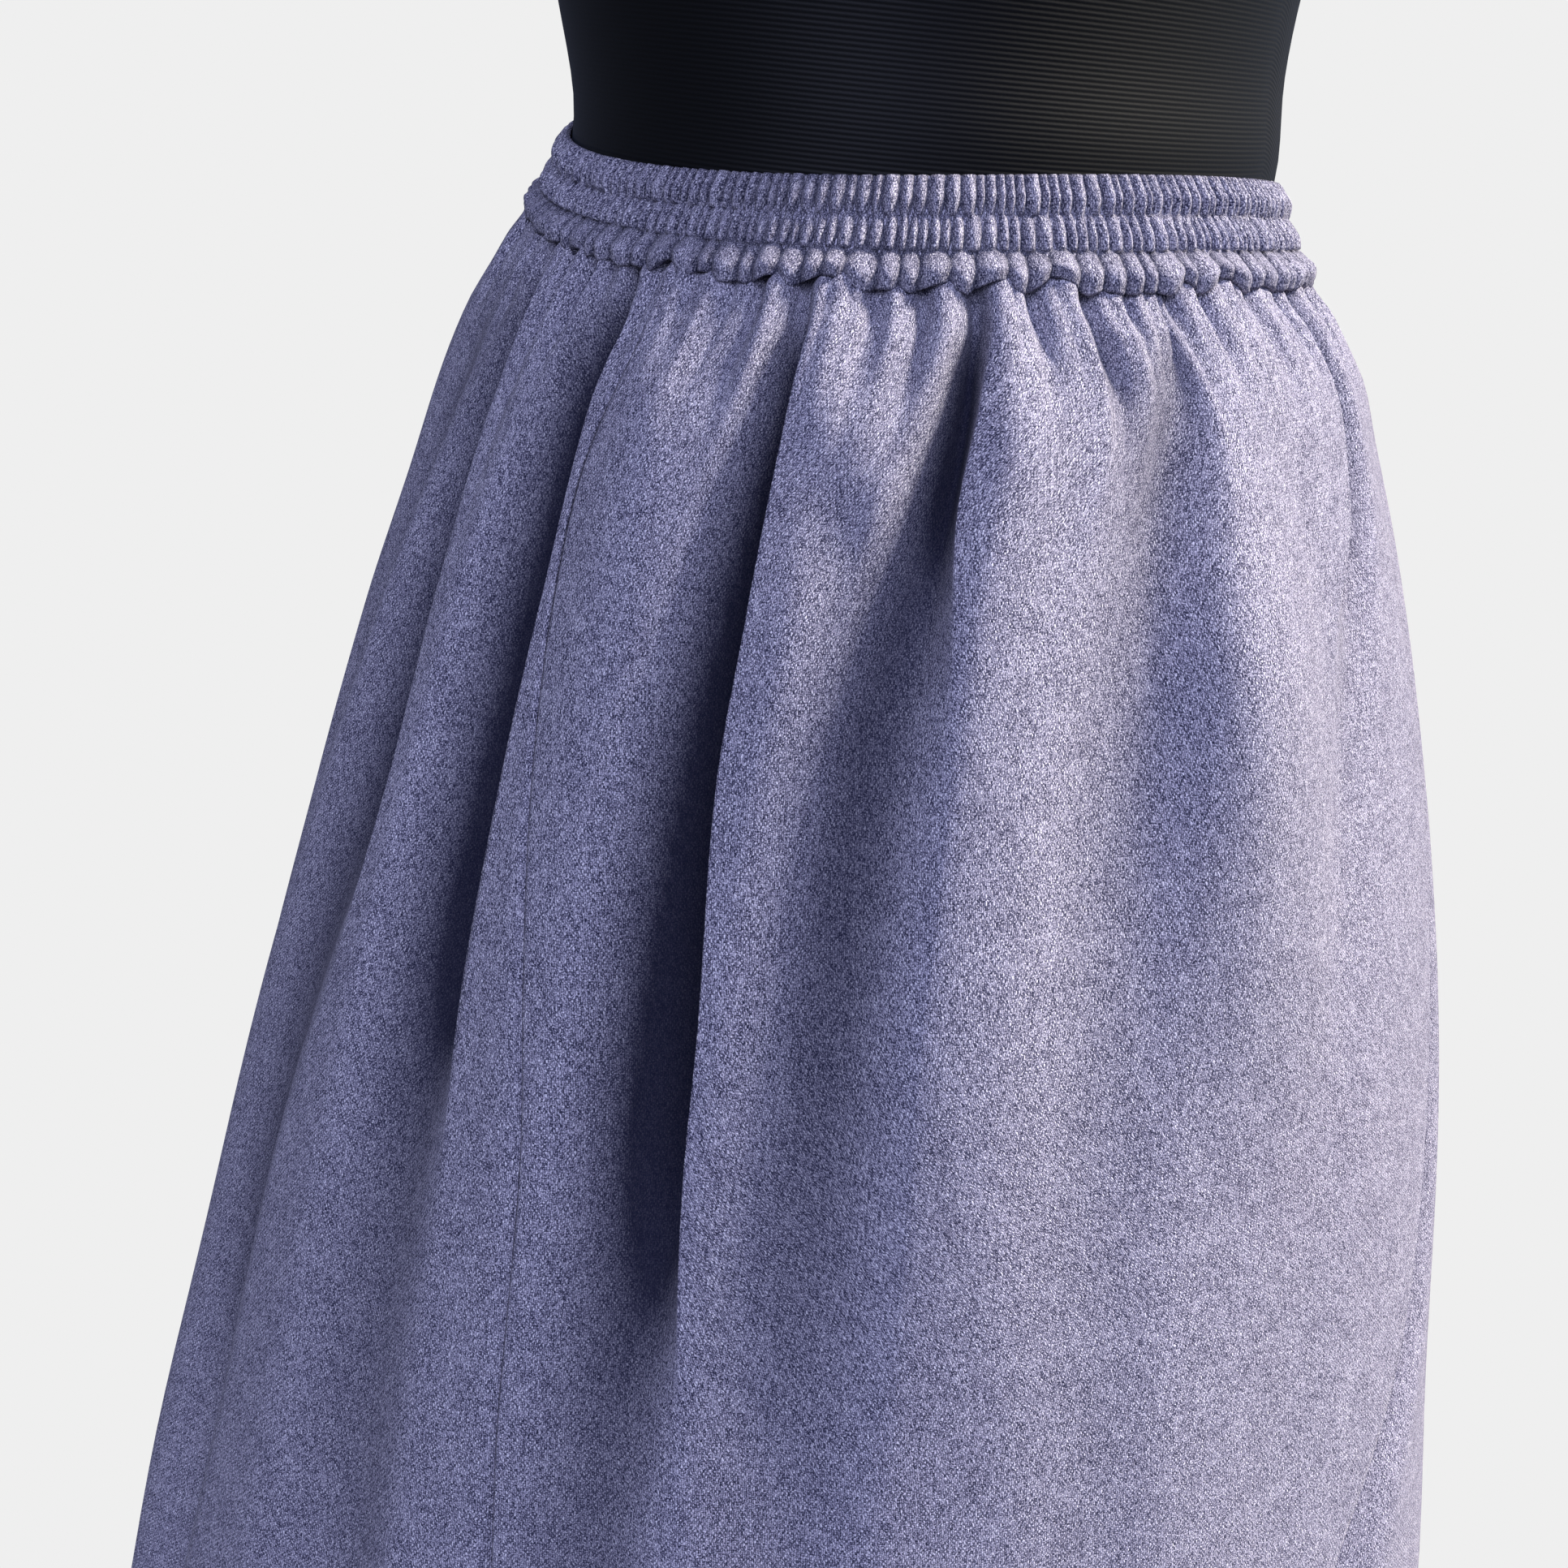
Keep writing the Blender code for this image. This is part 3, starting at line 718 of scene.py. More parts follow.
class Nodes:
    """A short way to add shader nodes and join them."""

    def __init__(self, material):
        self.tree = material.node_tree

    def add(self, kind, inputs=None, **settings):
        node = self.tree.nodes.new(kind)
        for name, value in settings.items():
            setattr(node, name, value)
        for name, value in (inputs or {}).items():
            socket = node.inputs[name]
            if isinstance(value, bpy.types.NodeSocket):
                self.tree.links.new(value, socket)
            else:
                socket.default_value = value
        return node

    def math(self, operation, a, b=0.0, c=0.0):
        return self.add("ShaderNodeMath", {0: a, 1: b, 2: c}, operation=operation).outputs[0]

    def mix(self, share, a, b, blend="MIX"):
        node = self.add("ShaderNodeMix", data_type="RGBA", blend_type=blend)
        for socket, value in ((node.inputs[0], share), (node.inputs[6], a), (node.inputs[7], b)):
            if isinstance(value, bpy.types.NodeSocket):
                self.tree.links.new(value, socket)
            else:
                socket.default_value = value
        return node.outputs[2]

    def ramp(self, value, stops):
        node = self.add("ShaderNodeValToRGB", {0: value})
        elements = node.color_ramp.elements
        while len(elements) < len(stops):
            elements.new(0.5)
        for element, (place, colour) in zip(elements, stops):
            element.position = place
            element.color = colour
        return node.outputs[0]


def new_material(name):
    finish = bpy.data.materials.new(name)
    finish.use_nodes = True
    nodes = Nodes(finish)
    shader = finish.node_tree.nodes["Principled BSDF"]
    return finish, nodes, shader


print("node helpers:", [name for name in vars(Nodes) if not name.startswith("_")])

# %% Wool material
WARP_PITCH = 0.00056
WEFT_PITCH = 0.00086
FIBRE_SIZE = 0.00042
SHADE_SIZE = 0.0013
PATCH_SIZE = 0.012
WOBBLE_SCALE = 700.0
WOBBLE_ACROSS = 1.6
WOBBLE_ALONG = 2.4
UNDER_HEIGHT = 0.35
HEIGHT_SHARE = 0.50
YARN_SHARE = 0.26
FIBRE_SHARE = 1.10
SHADE_SHARE = 0.16
PATCH_SHARE = 0.12
FIBRE_RELIEF = 0.8
SHADE_IN_FOLDS = 0.95


def grain(n, uv, size):
    """Fine noise of the given size in metres."""
    inputs = {"Vector": uv, "Scale": 1.0 / size, "Detail": 2.0, "Roughness": 0.6}
    return n.add("ShaderNodeTexNoise", inputs, noise_dimensions="2D")


def wool():
    finish, n, shader = new_material("wool_cloth")
    uv = n.add("ShaderNodeUVMap", uv_map="cloth_metres").outputs[0]
    parts = n.add("ShaderNodeSeparateXYZ", {0: uv})
    shift = n.add("ShaderNodeSeparateXYZ", {0: grain(n, uv, 1.0 / WOBBLE_SCALE).outputs[1]})
    across = n.math("DIVIDE", parts.outputs[0], WARP_PITCH)
    along = n.math("DIVIDE", parts.outputs[1], WEFT_PITCH)
    across = n.math("ADD", across, n.math("MULTIPLY", shift.outputs[0], WOBBLE_ACROSS))
    along = n.math("ADD", along, n.math("MULTIPLY", shift.outputs[1], WOBBLE_ALONG))
    warp = n.math("FLOOR", across)
    weft = n.math("FLOOR", along)
    over = n.math("FLOORED_MODULO", n.math("ADD", warp, weft), 2.0)

    across_round = n.math("SINE", n.math("MULTIPLY", n.math("FRACT", across), math.pi))
    along_round = n.math("SINE", n.math("MULTIPLY", n.math("FRACT", along), math.pi))
    dash = n.math("MULTIPLY", across_round, along_round)
    under = n.math("MULTIPLY", across_round, UNDER_HEIGHT)
    under = n.math("MULTIPLY", under, n.math("SUBTRACT", 1.0, over))
    height = n.math("ADD", n.math("MULTIPLY", dash, over), under)

    cell = n.add("ShaderNodeCombineXYZ", {0: warp, 1: weft}).outputs[0]
    yarn_shade = n.add("ShaderNodeTexWhiteNoise", {"Vector": cell}, noise_dimensions="2D").outputs[0]
    fibres, shades, patches = (
        n.math("SUBTRACT", grain(n, uv, size).outputs[0], 0.5)
        for size in (FIBRE_SIZE, SHADE_SIZE, PATCH_SIZE)
    )
    light = n.math("MULTIPLY", height, HEIGHT_SHARE)
    light = n.math("ADD", light, n.math("MULTIPLY", yarn_shade, YARN_SHARE))
    for part, share in ((fibres, FIBRE_SHARE), (shades, SHADE_SHARE), (patches, PATCH_SHARE)):
        light = n.math("ADD", light, n.math("MULTIPLY", part, share))
    yarn = n.ramp(light, (
        (0.00, (0.016, 0.018, 0.044, 1.0)),
        (0.20, (0.130, 0.126, 0.190, 1.0)),
        (0.45, (0.450, 0.430, 0.545, 1.0)),
        (0.80, (0.900, 0.880, 0.960, 1.0)),
    ))
    # Painted shade: the yarn colour is mixed towards a near-black blue where the painted shade attribute is
    # high, deep in folds and in the band's slits.
    deep = n.add("ShaderNodeAttribute", attribute_name="sunk").outputs["Fac"]
    yarn = n.mix(n.math("MULTIPLY", deep, SHADE_IN_FOLDS), yarn, (0.012, 0.013, 0.030, 1.0))
    n.tree.links.new(yarn, shader.inputs["Base Color"])
    shader.inputs["Roughness"].default_value = 0.92
    shader.inputs["Specular IOR Level"].default_value = 0.08
    shader.inputs["Sheen Weight"].default_value = 0.05
    shader.inputs["Sheen Roughness"].default_value = 0.45
    shader.inputs["Sheen Tint"].default_value = (0.80, 0.80, 0.95, 1.0)
    relief = n.math("ADD", height, n.math("MULTIPLY", fibres, FIBRE_RELIEF))
    bump = n.add("ShaderNodeBump", {"Height": relief, "Strength": 0.55, "Distance": 0.00020})
    n.tree.links.new(bump.outputs[0], shader.inputs["Normal"])
    return finish


WOOL = wool()
print("wool threads: one every", WARP_PITCH / MM, "mm across and", WEFT_PITCH / MM, "mm up and down")

# %% [markdown]
# ## The two skirt panels
#
# Front and back are the same kind of piece: a grid between two side seams, hung by the functions above. Near
# a seam the cloth turns in sharply by a millimetre, which draws the fine dark line of a pressed-open seam.
# The last rows turn inwards and up again, as the hem does. Solidify gives the wall its thickness, inwards, so
# the outside stays where the tables put it.

# %% Skirt panels
COLUMN_STEP = 0.52
FINE_STEP = 0.20
FINE_COLUMNS = 4001
TOP_TUCK = 0.0045
TOP_ROWS = 10
TOP_END = 0.036
NEAR_ROWS = 76
FAR_ROWS = 20
NEAR_END = 0.420
ROW_BLUR = 0.03
SHOWN_DROPS = (0.08, 0.36)
SEAM_GROOVE = 0.0011
SEAM_GROOVE_WIDTH = 0.8
INSIDE_BAND = 0.006
INSIDE_START = BAND_DEPTH - 0.003
INSIDE_END = BAND_DEPTH + 0.001
PANEL_MIDDLE = np.array((0.0, 0.006))
HEM_TURN = 0.025
HEM_INWARDS = 0.0030
HEM_ROWS = 3

ROW_DROPS = np.concatenate((
    np.linspace(BAND_DEPTH - TOP_TUCK, TOP_END, TOP_ROWS, endpoint=False),
    np.linspace(TOP_END, NEAR_END, NEAR_ROWS, endpoint=False),
    np.linspace(NEAR_END, SKIRT_LENGTH - MM, FAR_ROWS),
    [SKIRT_LENGTH],
    np.linspace(SKIRT_LENGTH - MM, SKIRT_LENGTH - HEM_TURN, HEM_ROWS),
))
TURNED_IN = np.zeros(len(ROW_DROPS))
TURNED_IN[-HEM_ROWS:] = HEM_INWARDS
TURNED_IN[-HEM_ROWS - 1] = 0.5 * HEM_INWARDS


def column_starts(first, last):
    """Places of the columns at the waist, closer together where a fold has a steep side."""
    fine = np.linspace(first, last, FINE_COLUMNS)
    density = np.full_like(fine, 1.0 / COLUMN_STEP)
    for rows in FOLDS:
        side = lip_side(rows)
        if side:
            top = fold_at(rows, WAIST_LINE, "angle")
            reach = fold_at(rows, WAIST_LINE, "after" if side > 0 else "before")
            from_wall = np.abs(wrapped(fine - top - side * 0.5 * reach)) - 0.5 * reach
            density = np.maximum(density, 1.0 / (FINE_STEP + 0.5 * np.maximum(from_wall, 0.0)))
    total = np.concatenate(([0.0], np.cumsum(0.5 * (density[1:] + density[:-1]) * np.diff(fine))))
    count = int(total[-1]) + 1
    return np.interp(np.linspace(0.0, total[-1], count), total, fine)


print("rows of a panel:", len(ROW_DROPS))

# %% Length of the cloth


def cloth_lengths(points):
    """Metres of cloth along the rows and down the columns, for the UV map.

    Each row is measured along its folds and then brought to the same length as the others.
    """
    across = np.linalg.norm(np.diff(points, axis=1), axis=-1)
    weights = np.exp(-((ROW_DROPS[:, None] - ROW_DROPS[None, :]) / ROW_BLUR) ** 2)
    across = weights @ across / weights.sum(axis=1, keepdims=True)
    row_length = across.sum(axis=1, keepdims=True)
    shown = (ROW_DROPS > SHOWN_DROPS[0]) & (ROW_DROPS < SHOWN_DROPS[1])
    across *= row_length[shown].mean() / row_length
    down = np.linalg.norm(np.diff(points, axis=0), axis=-1).mean(axis=1)
    u = np.concatenate((np.zeros((len(across), 1)), np.cumsum(across, axis=1)), axis=1)
    v = np.concatenate(([0.0], np.cumsum(down)))
    return np.stack(np.broadcast_arrays(u, -v[:, None]), axis=-1)


# %% Front and back


def skirt_panel(name, first, last):
    """A panel between two waist angles, in degrees."""
    start = column_starts(first, last)
    points, sunk = cloth_points(start, ROW_DROPS)
    from_edge = np.minimum(start - first, last - start)
    groove = SEAM_GROOVE * (1.0 - np.minimum(from_edge / SEAM_GROOVE_WIDTH, 1.0)) ** 2
    tuck = INSIDE_BAND * (1.0 - ease(ROW_DROPS, INSIDE_START, INSIDE_END))
    level = points[..., :2] - PANEL_MIDDLE
    level = level / np.linalg.norm(level, axis=-1, keepdims=True)
    points[..., :2] -= level * (groove[None, :, None] + (tuck + TURNED_IN)[:, None, None])
    uv = cloth_lengths(points)
    faces = grid_faces(len(ROW_DROPS), len(start))
    panel = mesh_from_grid(name, points, faces, uv, WOOL, sunk)
    wall = panel.modifiers.new("Wall", "SOLIDIFY")
    wall.thickness = CLOTH
    wall.offset = -1.0
    wall.use_quality_normals = True
    across, down = float(uv[0, -1, 0]), float(-uv[-1, 0, 1])
    print(name, "takes", round(across, 3), "m of cloth across,", round(down, 3), "m down")
    return panel


front = skirt_panel("front_panel", RIGHT_SEAM[0] - FULL_TURN, LEFT_SEAM[0])
back = skirt_panel("back_panel", LEFT_SEAM[0], RIGHT_SEAM[0])
for panel in (front, back):
    print(panel.name, "has", triangles_of(panel), "triangles in one layer")

# %% [markdown]
# ## The waistband
#
# Elastic runs through three stitched rows. The two upper rows are drawn up in fine tucks that don't line up
# from row to row. The lowest row is not shirred itself: it puffs out in small pillows, wide and narrow by
# turns, and a thin rolled edge follows the seam under them.

# %% Rows of the band
BandRing = namedtuple("BandRing", "drop flare")
BAND_RINGS = (
    BandRing(0.0000, 0.0000),
    BandRing(0.0043, 0.0034),
    BandRing(0.0087, 0.0046),
    BandRing(0.0130, 0.0082),
    BandRing(0.0170, 0.0102),
    BandRing(0.0214, 0.0152),
    BandRing(0.0260, 0.0155),
)
STITCH_DROPS = (0.0087, 0.0170)
FRONT_FLARE = 0.60
TUCK_SEEDS = (3, 8)
TUCK_WIDTH = (0.0026, 0.0056)
TUCK_DEPTH = 3.6
LINE_SHARE = 0.35
TUCK_ROUND = 1.05
PUFF_ROUND = 0.85
SLIT_SHADE = 1.8
PUFF_DEPTH = 3.8
PUFF_SPAN = 0.86
PUFF_LINE_SHARE = 0.9
BULGE_HEIGHT = 0.35
BULGE_ROUND = 0.35
EDGE_HEIGHT = 0.6
EDGE_PLACE = 0.95
EDGE_WIDTH = 0.05
TOP_WAVES = 0.0006
TOP_WAVE_FADE = 0.003
TOP_WAVE_ROUND = 0.6
PUFF_HEADS = 0.0009
PUFF_HEAD_WIDTH = 0.0016
PUFF_HEAD_ROUND = 0.5
RISE_START = STITCH_DROPS[1] - 0.002

TUCK_ROWS = [uneven_slits(seed, TUCK_WIDTH) for seed in TUCK_SEEDS]
print("tucks round the two upper rows:", [len(row.height) for row in TUCK_ROWS])

# %% Points of the band


def band_flare(degrees, drop):
    """How far the band stands out below its top edge; it lies flatter at the front."""
    share = 0.5 * (1.0 + FRONT_FLARE) - 0.5 * (1.0 - FRONT_FLARE) * np.cos(np.radians(degrees))
    return share * read_between(column(BAND_RINGS, "drop"), column(BAND_RINGS, "flare"), drop)


def band_points(degrees, drop):
    """Points on the outside of the band, and the painted shade in the slits between its tucks."""
    first_line, second_line = STITCH_DROPS
    rows = (
        (0.0, first_line, TUCK_ROWS[0], TUCK_ROUND, TUCK_DEPTH, LINE_SHARE, 1.0),
        (first_line, second_line, TUCK_ROWS[1], TUCK_ROUND, TUCK_DEPTH, LINE_SHARE, 1.0),
        (second_line, BAND_DEPTH, PUFFS, PUFF_ROUND, PUFF_DEPTH, PUFF_LINE_SHARE, PUFF_SPAN),
    )
    out = np.zeros_like(drop)
    sunk = np.zeros_like(drop)
    for top, bottom, slits, roundness, depth, line_share, span in rows:
        height = pillow(degrees, slits, roundness)
        place = np.clip((drop - top) / (bottom - top), 0.0, 1.0)
        bulge = np.sin(np.pi * place * span) ** BULGE_ROUND
        raised = height * depth * (1.0 - line_share + line_share * bulge) + BULGE_HEIGHT * bulge
        within = (drop >= top) & (drop <= bottom)
        out = np.where(within, raised, out)
        # Painted shade in the slits: the lower a point lies between its pillows, the darker its colour is
        # painted.
        sunk = np.where(within, (1.0 - np.clip(raised / depth, 0.0, 1.0)) ** SLIT_SHADE, sunk)
    lowest = (drop - second_line) / (BAND_DEPTH - second_line)
    out += EDGE_HEIGHT * np.exp(-((lowest - EDGE_PLACE) / EDGE_WIDTH) ** 2)
    out -= TUCK_DEPTH
    turn = np.radians(degrees)
    reach = BAND_CLEARANCE + BAND_WALL + band_flare(degrees, drop) + MM * out
    lift = seam_rise(degrees) * ease(drop, RISE_START, BAND_DEPTH)
    waves = pillow(degrees, TUCK_ROWS[0], TOP_WAVE_ROUND) * (1.0 - ease(drop, 0.0, TOP_WAVE_FADE))
    heads = pillow(degrees, PUFFS, PUFF_HEAD_ROUND)
    heads *= np.exp(-((drop - second_line) / PUFF_HEAD_WIDTH) ** 2)
    lift += TOP_WAVES * waves + PUFF_HEADS * heads
    return np.stack((
        (FORM_HALF_WIDTH + reach) * np.sin(turn),
        -(FORM_HALF_DEPTH + reach) * np.cos(turn),
        WAIST_HEIGHT - drop + saddle(degrees, drop) + lift,
    ), axis=-1), sunk


def inner_wall(degrees, drop):
    """Points on the plain inside of the band."""
    turn = np.radians(degrees)
    reach = BAND_CLEARANCE + band_flare(degrees, drop)
    lift = seam_rise(degrees) * ease(drop, RISE_START, BAND_DEPTH)
    return np.stack((
        (FORM_HALF_WIDTH + reach) * np.sin(turn),
        -(FORM_HALF_DEPTH + reach) * np.cos(turn),
        WAIST_HEIGHT - drop + saddle(degrees, drop) + lift,
    ), axis=-1)


print("band flare at the bottom:", round(float(band_flare(90.0, BAND_DEPTH)) / MM, 1), "mm at the side")

# %% Waistband
BAND_COLUMNS = 2400
BAND_ROWS = 36
INNER_ROWS = 3
EDGE_ROWS = 5


def waistband():
    """Outside rows, a turned top edge and a plain inner wall, in one closed mesh."""
    degrees = np.arange(BAND_COLUMNS) / BAND_COLUMNS * FULL_TURN
    outside, sunk = band_points(*np.meshgrid(degrees, np.linspace(0.0, BAND_DEPTH, BAND_ROWS)))
    inside = inner_wall(*np.meshgrid(degrees, np.linspace(BAND_DEPTH, 0.0, INNER_ROWS)))
    sunk = np.concatenate((sunk, np.zeros(inside.shape[:2])), axis=0)
    points = np.concatenate((outside, inside), axis=0)
    rows = len(points)
    faces = grid_faces(rows, BAND_COLUMNS, closed=True)
    loop = grid_faces(2, BAND_COLUMNS, closed=True)
    last = (rows - 1) * BAND_COLUMNS
    closing = np.where(loop < BAND_COLUMNS, loop + last, loop - BAND_COLUMNS)
    faces = np.concatenate((faces, closing))
    across = np.linalg.norm(np.diff(outside, axis=1), axis=-1)[EDGE_ROWS:-EDGE_ROWS].mean(axis=0)
    u = np.concatenate(([0.0], np.cumsum(across)))
    down = np.linalg.norm(np.diff(points, axis=0), axis=-1).mean(axis=1)
    v = np.concatenate(([0.0], np.cumsum(down)))
    uv = np.stack(np.broadcast_arrays(u[None, :], -v[:, None]), axis=-1)
    print("waistband takes", round(float(u[-1]), 3), "m of cloth")
    return mesh_from_grid("waistband_casing", points, faces, uv, WOOL, sunk)


band = waistband()
print("waistband:", triangles_of(band), "triangles")

# %% [markdown]
# ## Stitches
#
# The shirring shows as two lines of thread round the band, and one line holds the hem. A stitch repeats at an
# even pitch along a line on the cloth, which is work for Geometry Nodes: one small rounded stitch is set on
# points along the line and turned to follow it. The tree ends by making the copies real and giving them the
# thread's finish.

# %% Thread


def thread_material():
    finish, _, shader = new_material("thread")
    shader.inputs["Base Color"].default_value = (0.150, 0.145, 0.215, 1.0)
    shader.inputs["Roughness"].default_value = 0.70
    shader.inputs["Specular IOR Level"].default_value = 0.20
    return finish


THREAD = thread_material()
print("thread finish:", THREAD.name)

# %% Geometry Nodes for a row of stitches
THREAD_RADIUS = 0.00017
STITCH_SEED = 4
STITCH_SIDES = 6
STITCH_RINGS = 5
STITCH_TILT = 0.10
STITCH_INPUTS = (("Pitch", "Float"), ("Stitch length", "Float"), ("Thread radius", "Float"), ("Seed", "Int"))


def stitch_tree():
    """Small rounded stitches at an even pitch along the edges of a mesh line."""
    tree = bpy.data.node_groups.new("row_of_stitches", "GeometryNodeTree")
    tree.interface.new_socket("Line", in_out="INPUT", socket_type="NodeSocketGeometry")
    for name, kind in STITCH_INPUTS:
        tree.interface.new_socket(name, in_out="INPUT", socket_type="NodeSocket" + kind)
    tree.interface.new_socket("Thread", in_out="INPUT", socket_type="NodeSocketMaterial")
    tree.interface.new_socket("Stitches", in_out="OUTPUT", socket_type="NodeSocketGeometry")
    given = tree.nodes.new("NodeGroupInput").outputs
    made = tree.nodes.new("NodeGroupOutput")

    def add(kind, inputs, **settings):
        node = tree.nodes.new(kind)
        for name, value in settings.items():
            setattr(node, name, value)
        for name, value in inputs.items():
            if isinstance(value, bpy.types.NodeSocket):
                tree.links.new(value, node.inputs[name])
            else:
                node.inputs[name].default_value = value
        return node.outputs

    path = add("GeometryNodeMeshToCurve", {"Mesh": given["Line"]})
    places = add("GeometryNodeCurveToPoints", {"Curve": path[0], "Length": given["Pitch"]}, mode="LENGTH")
    bead = add("GeometryNodeMeshUVSphere", {"Segments": STITCH_SIDES, "Rings": STITCH_RINGS, "Radius": 1.0})
    half = add("ShaderNodeMath", {0: given["Stitch length"], 1: 0.5}, operation="MULTIPLY")
    size = add("ShaderNodeCombineXYZ", {0: given["Thread radius"], 1: given["Thread radius"], 2: half[0]})
    tilt = add(
        "FunctionNodeRandomValue",
        {0: (-STITCH_TILT, -STITCH_TILT, 0.0), 1: (STITCH_TILT, STITCH_TILT, 0.0), "Seed": given["Seed"]},
        data_type="FLOAT_VECTOR",
    )
    aim = add("FunctionNodeAlignRotationToVector", {"Vector": places["Tangent"]}, axis="Z")
    turn = add("FunctionNodeRotateRotation", {0: aim[0], 1: tilt[0]}, rotation_space="LOCAL")
    copies = add(
        "GeometryNodeInstanceOnPoints",
        {"Points": places["Points"], "Instance": bead["Mesh"], "Rotation": turn[0], "Scale": size[0]},
    )
    real = add("GeometryNodeRealizeInstances", {"Geometry": copies[0]})
    sewn = add("GeometryNodeSetMaterial", {"Geometry": real[0], "Material": given["Thread"]})
    tree.links.new(sewn[0], made.inputs["Stitches"])
    return tree


STITCHES = stitch_tree()
print("stitch tree has", len(STITCHES.nodes), "nodes")

# %% A row of stitches as a mesh


def stitch_row(name, points, pitch, length):
    """A closed row of stitches along points, as a plain mesh."""
    line = bpy.data.meshes.new(name + "_line")
    count = len(points)
    line.from_pydata(points.tolist(), [(i, (i + 1) % count) for i in range(count)], [])
    holder = link_mesh(name + "_line", line)
    sewing = holder.modifiers.new("Stitches", "NODES")
    sewing.node_group = STITCHES
    values = {
        "Pitch": pitch,
        "Stitch length": length,
        "Thread radius": THREAD_RADIUS,
        "Seed": STITCH_SEED,
        "Thread": THREAD,
    }
    for item in STITCHES.interface.items_tree:
        if item.in_out == "INPUT" and item.name in values:
            sewing[item.identifier] = values[item.name]
    finished = holder.evaluated_get(bpy.context.evaluated_depsgraph_get())
    mesh = bpy.data.meshes.new_from_object(finished)
    bpy.data.objects.remove(holder)
    mesh.shade_smooth()
    row = link_mesh(name, mesh)
    print(name, "has", triangles_of(row), "triangles")
    return row


# %% Rows of stitches
SHIRRING_PITCH = 0.0030
SHIRRING_STITCH = 0.0023
HEM_PITCH = 0.0042
HEM_STITCH = 0.0032
HEM_LINE = SKIRT_LENGTH - HEM_TURN + 0.003
HEM_POINT_STEP = 0.4
THREAD_PROUD = 0.0001
THREAD_SMOOTHING = 9


def smoothed(points, window):
    """A closed line of points, each the mean of its neighbours: a thread cuts across small dips."""
    return sum(np.roll(points, shift, axis=0) for shift in range(-window, window + 1)) / (2 * window + 1)


def out_from_middle(points, distance):
    level = points[:, :2] / np.linalg.norm(points[:, :2], axis=1, keepdims=True)
    return np.column_stack((points[:, :2] + distance * level, points[:, 2]))


band_angles = np.arange(BAND_COLUMNS) / BAND_COLUMNS * FULL_TURN
shirring = []
for number, drop in enumerate(STITCH_DROPS, start=1):
    on_cloth = band_points(band_angles, np.full(BAND_COLUMNS, drop))[0]
    line = out_from_middle(smoothed(on_cloth, THREAD_SMOOTHING), THREAD_PROUD)
    shirring.append(stitch_row(f"shirring_thread_{number}", line, SHIRRING_PITCH, SHIRRING_STITCH))

on_cloth = cloth_points(np.arange(0.0, FULL_TURN, HEM_POINT_STEP), [HEM_LINE])[0][0]
hem_thread = stitch_row("hem_thread", out_from_middle(on_cloth, THREAD_PROUD), HEM_PITCH, HEM_STITCH)

# %% [markdown]
# ## The dress form
#
# The torso is a loft between ovals, covered with black stretch knit. The knit has fine level ribs and one
# seam down the middle of the back, behind which the ribs run at a slant.

# %% Form cover
Section = namedtuple("Section", "height half_width half_depth back_shift")
FORM_SECTIONS = (
    Section(-0.262, 0.140, 0.100, 0.006),
    Section(-0.250, 0.160, 0.118, 0.006),
    Section(-0.225, 0.172, 0.127, 0.006),
    Section(-0.170, 0.174, 0.128, 0.005),
    Section(-0.110, 0.163, 0.121, 0.004),
    Section(-0.060, 0.149, 0.110, 0.002),
    Section(-0.030, 0.1405, 0.1060, 0.000),
    Section(-0.008, FORM_HALF_WIDTH, FORM_HALF_DEPTH, 0.000),
    Section(0.008, FORM_HALF_WIDTH, FORM_HALF_DEPTH, 0.000),
    Section(0.032, 0.1395, 0.1045, -0.0045),
    Section(0.060, 0.1435, 0.1085, -0.008),
    Section(0.110, 0.152, 0.118, -0.012),
    Section(0.165, 0.161, 0.127, -0.013),
    Section(0.220, 0.166, 0.125, -0.011),
    Section(0.280, 0.173, 0.111, -0.005),
    Section(0.325, 0.177, 0.096, 0.000),
    Section(0.355, 0.168, 0.083, 0.004),
    Section(0.380, 0.140, 0.073, 0.005),
    Section(0.400, 0.104, 0.066, 0.005),
    Section(0.420, 0.074, 0.061, 0.004),
    Section(0.445, 0.062, 0.058, 0.003),
    Section(0.500, 0.059, 0.056, 0.000),
)
RIB_PITCH = 0.00125
COVER_COLUMNS = 180
COVER_STEP = 0.006
COVER_SEAM = 181.0
COVER_GROOVE = 0.0006
COVER_GROOVE_WIDTH = 0.8
SLANT = 0.34
SLANT_END = 60.0
RIB_SHARE = 0.7
KNIT_SCALE = 900.0


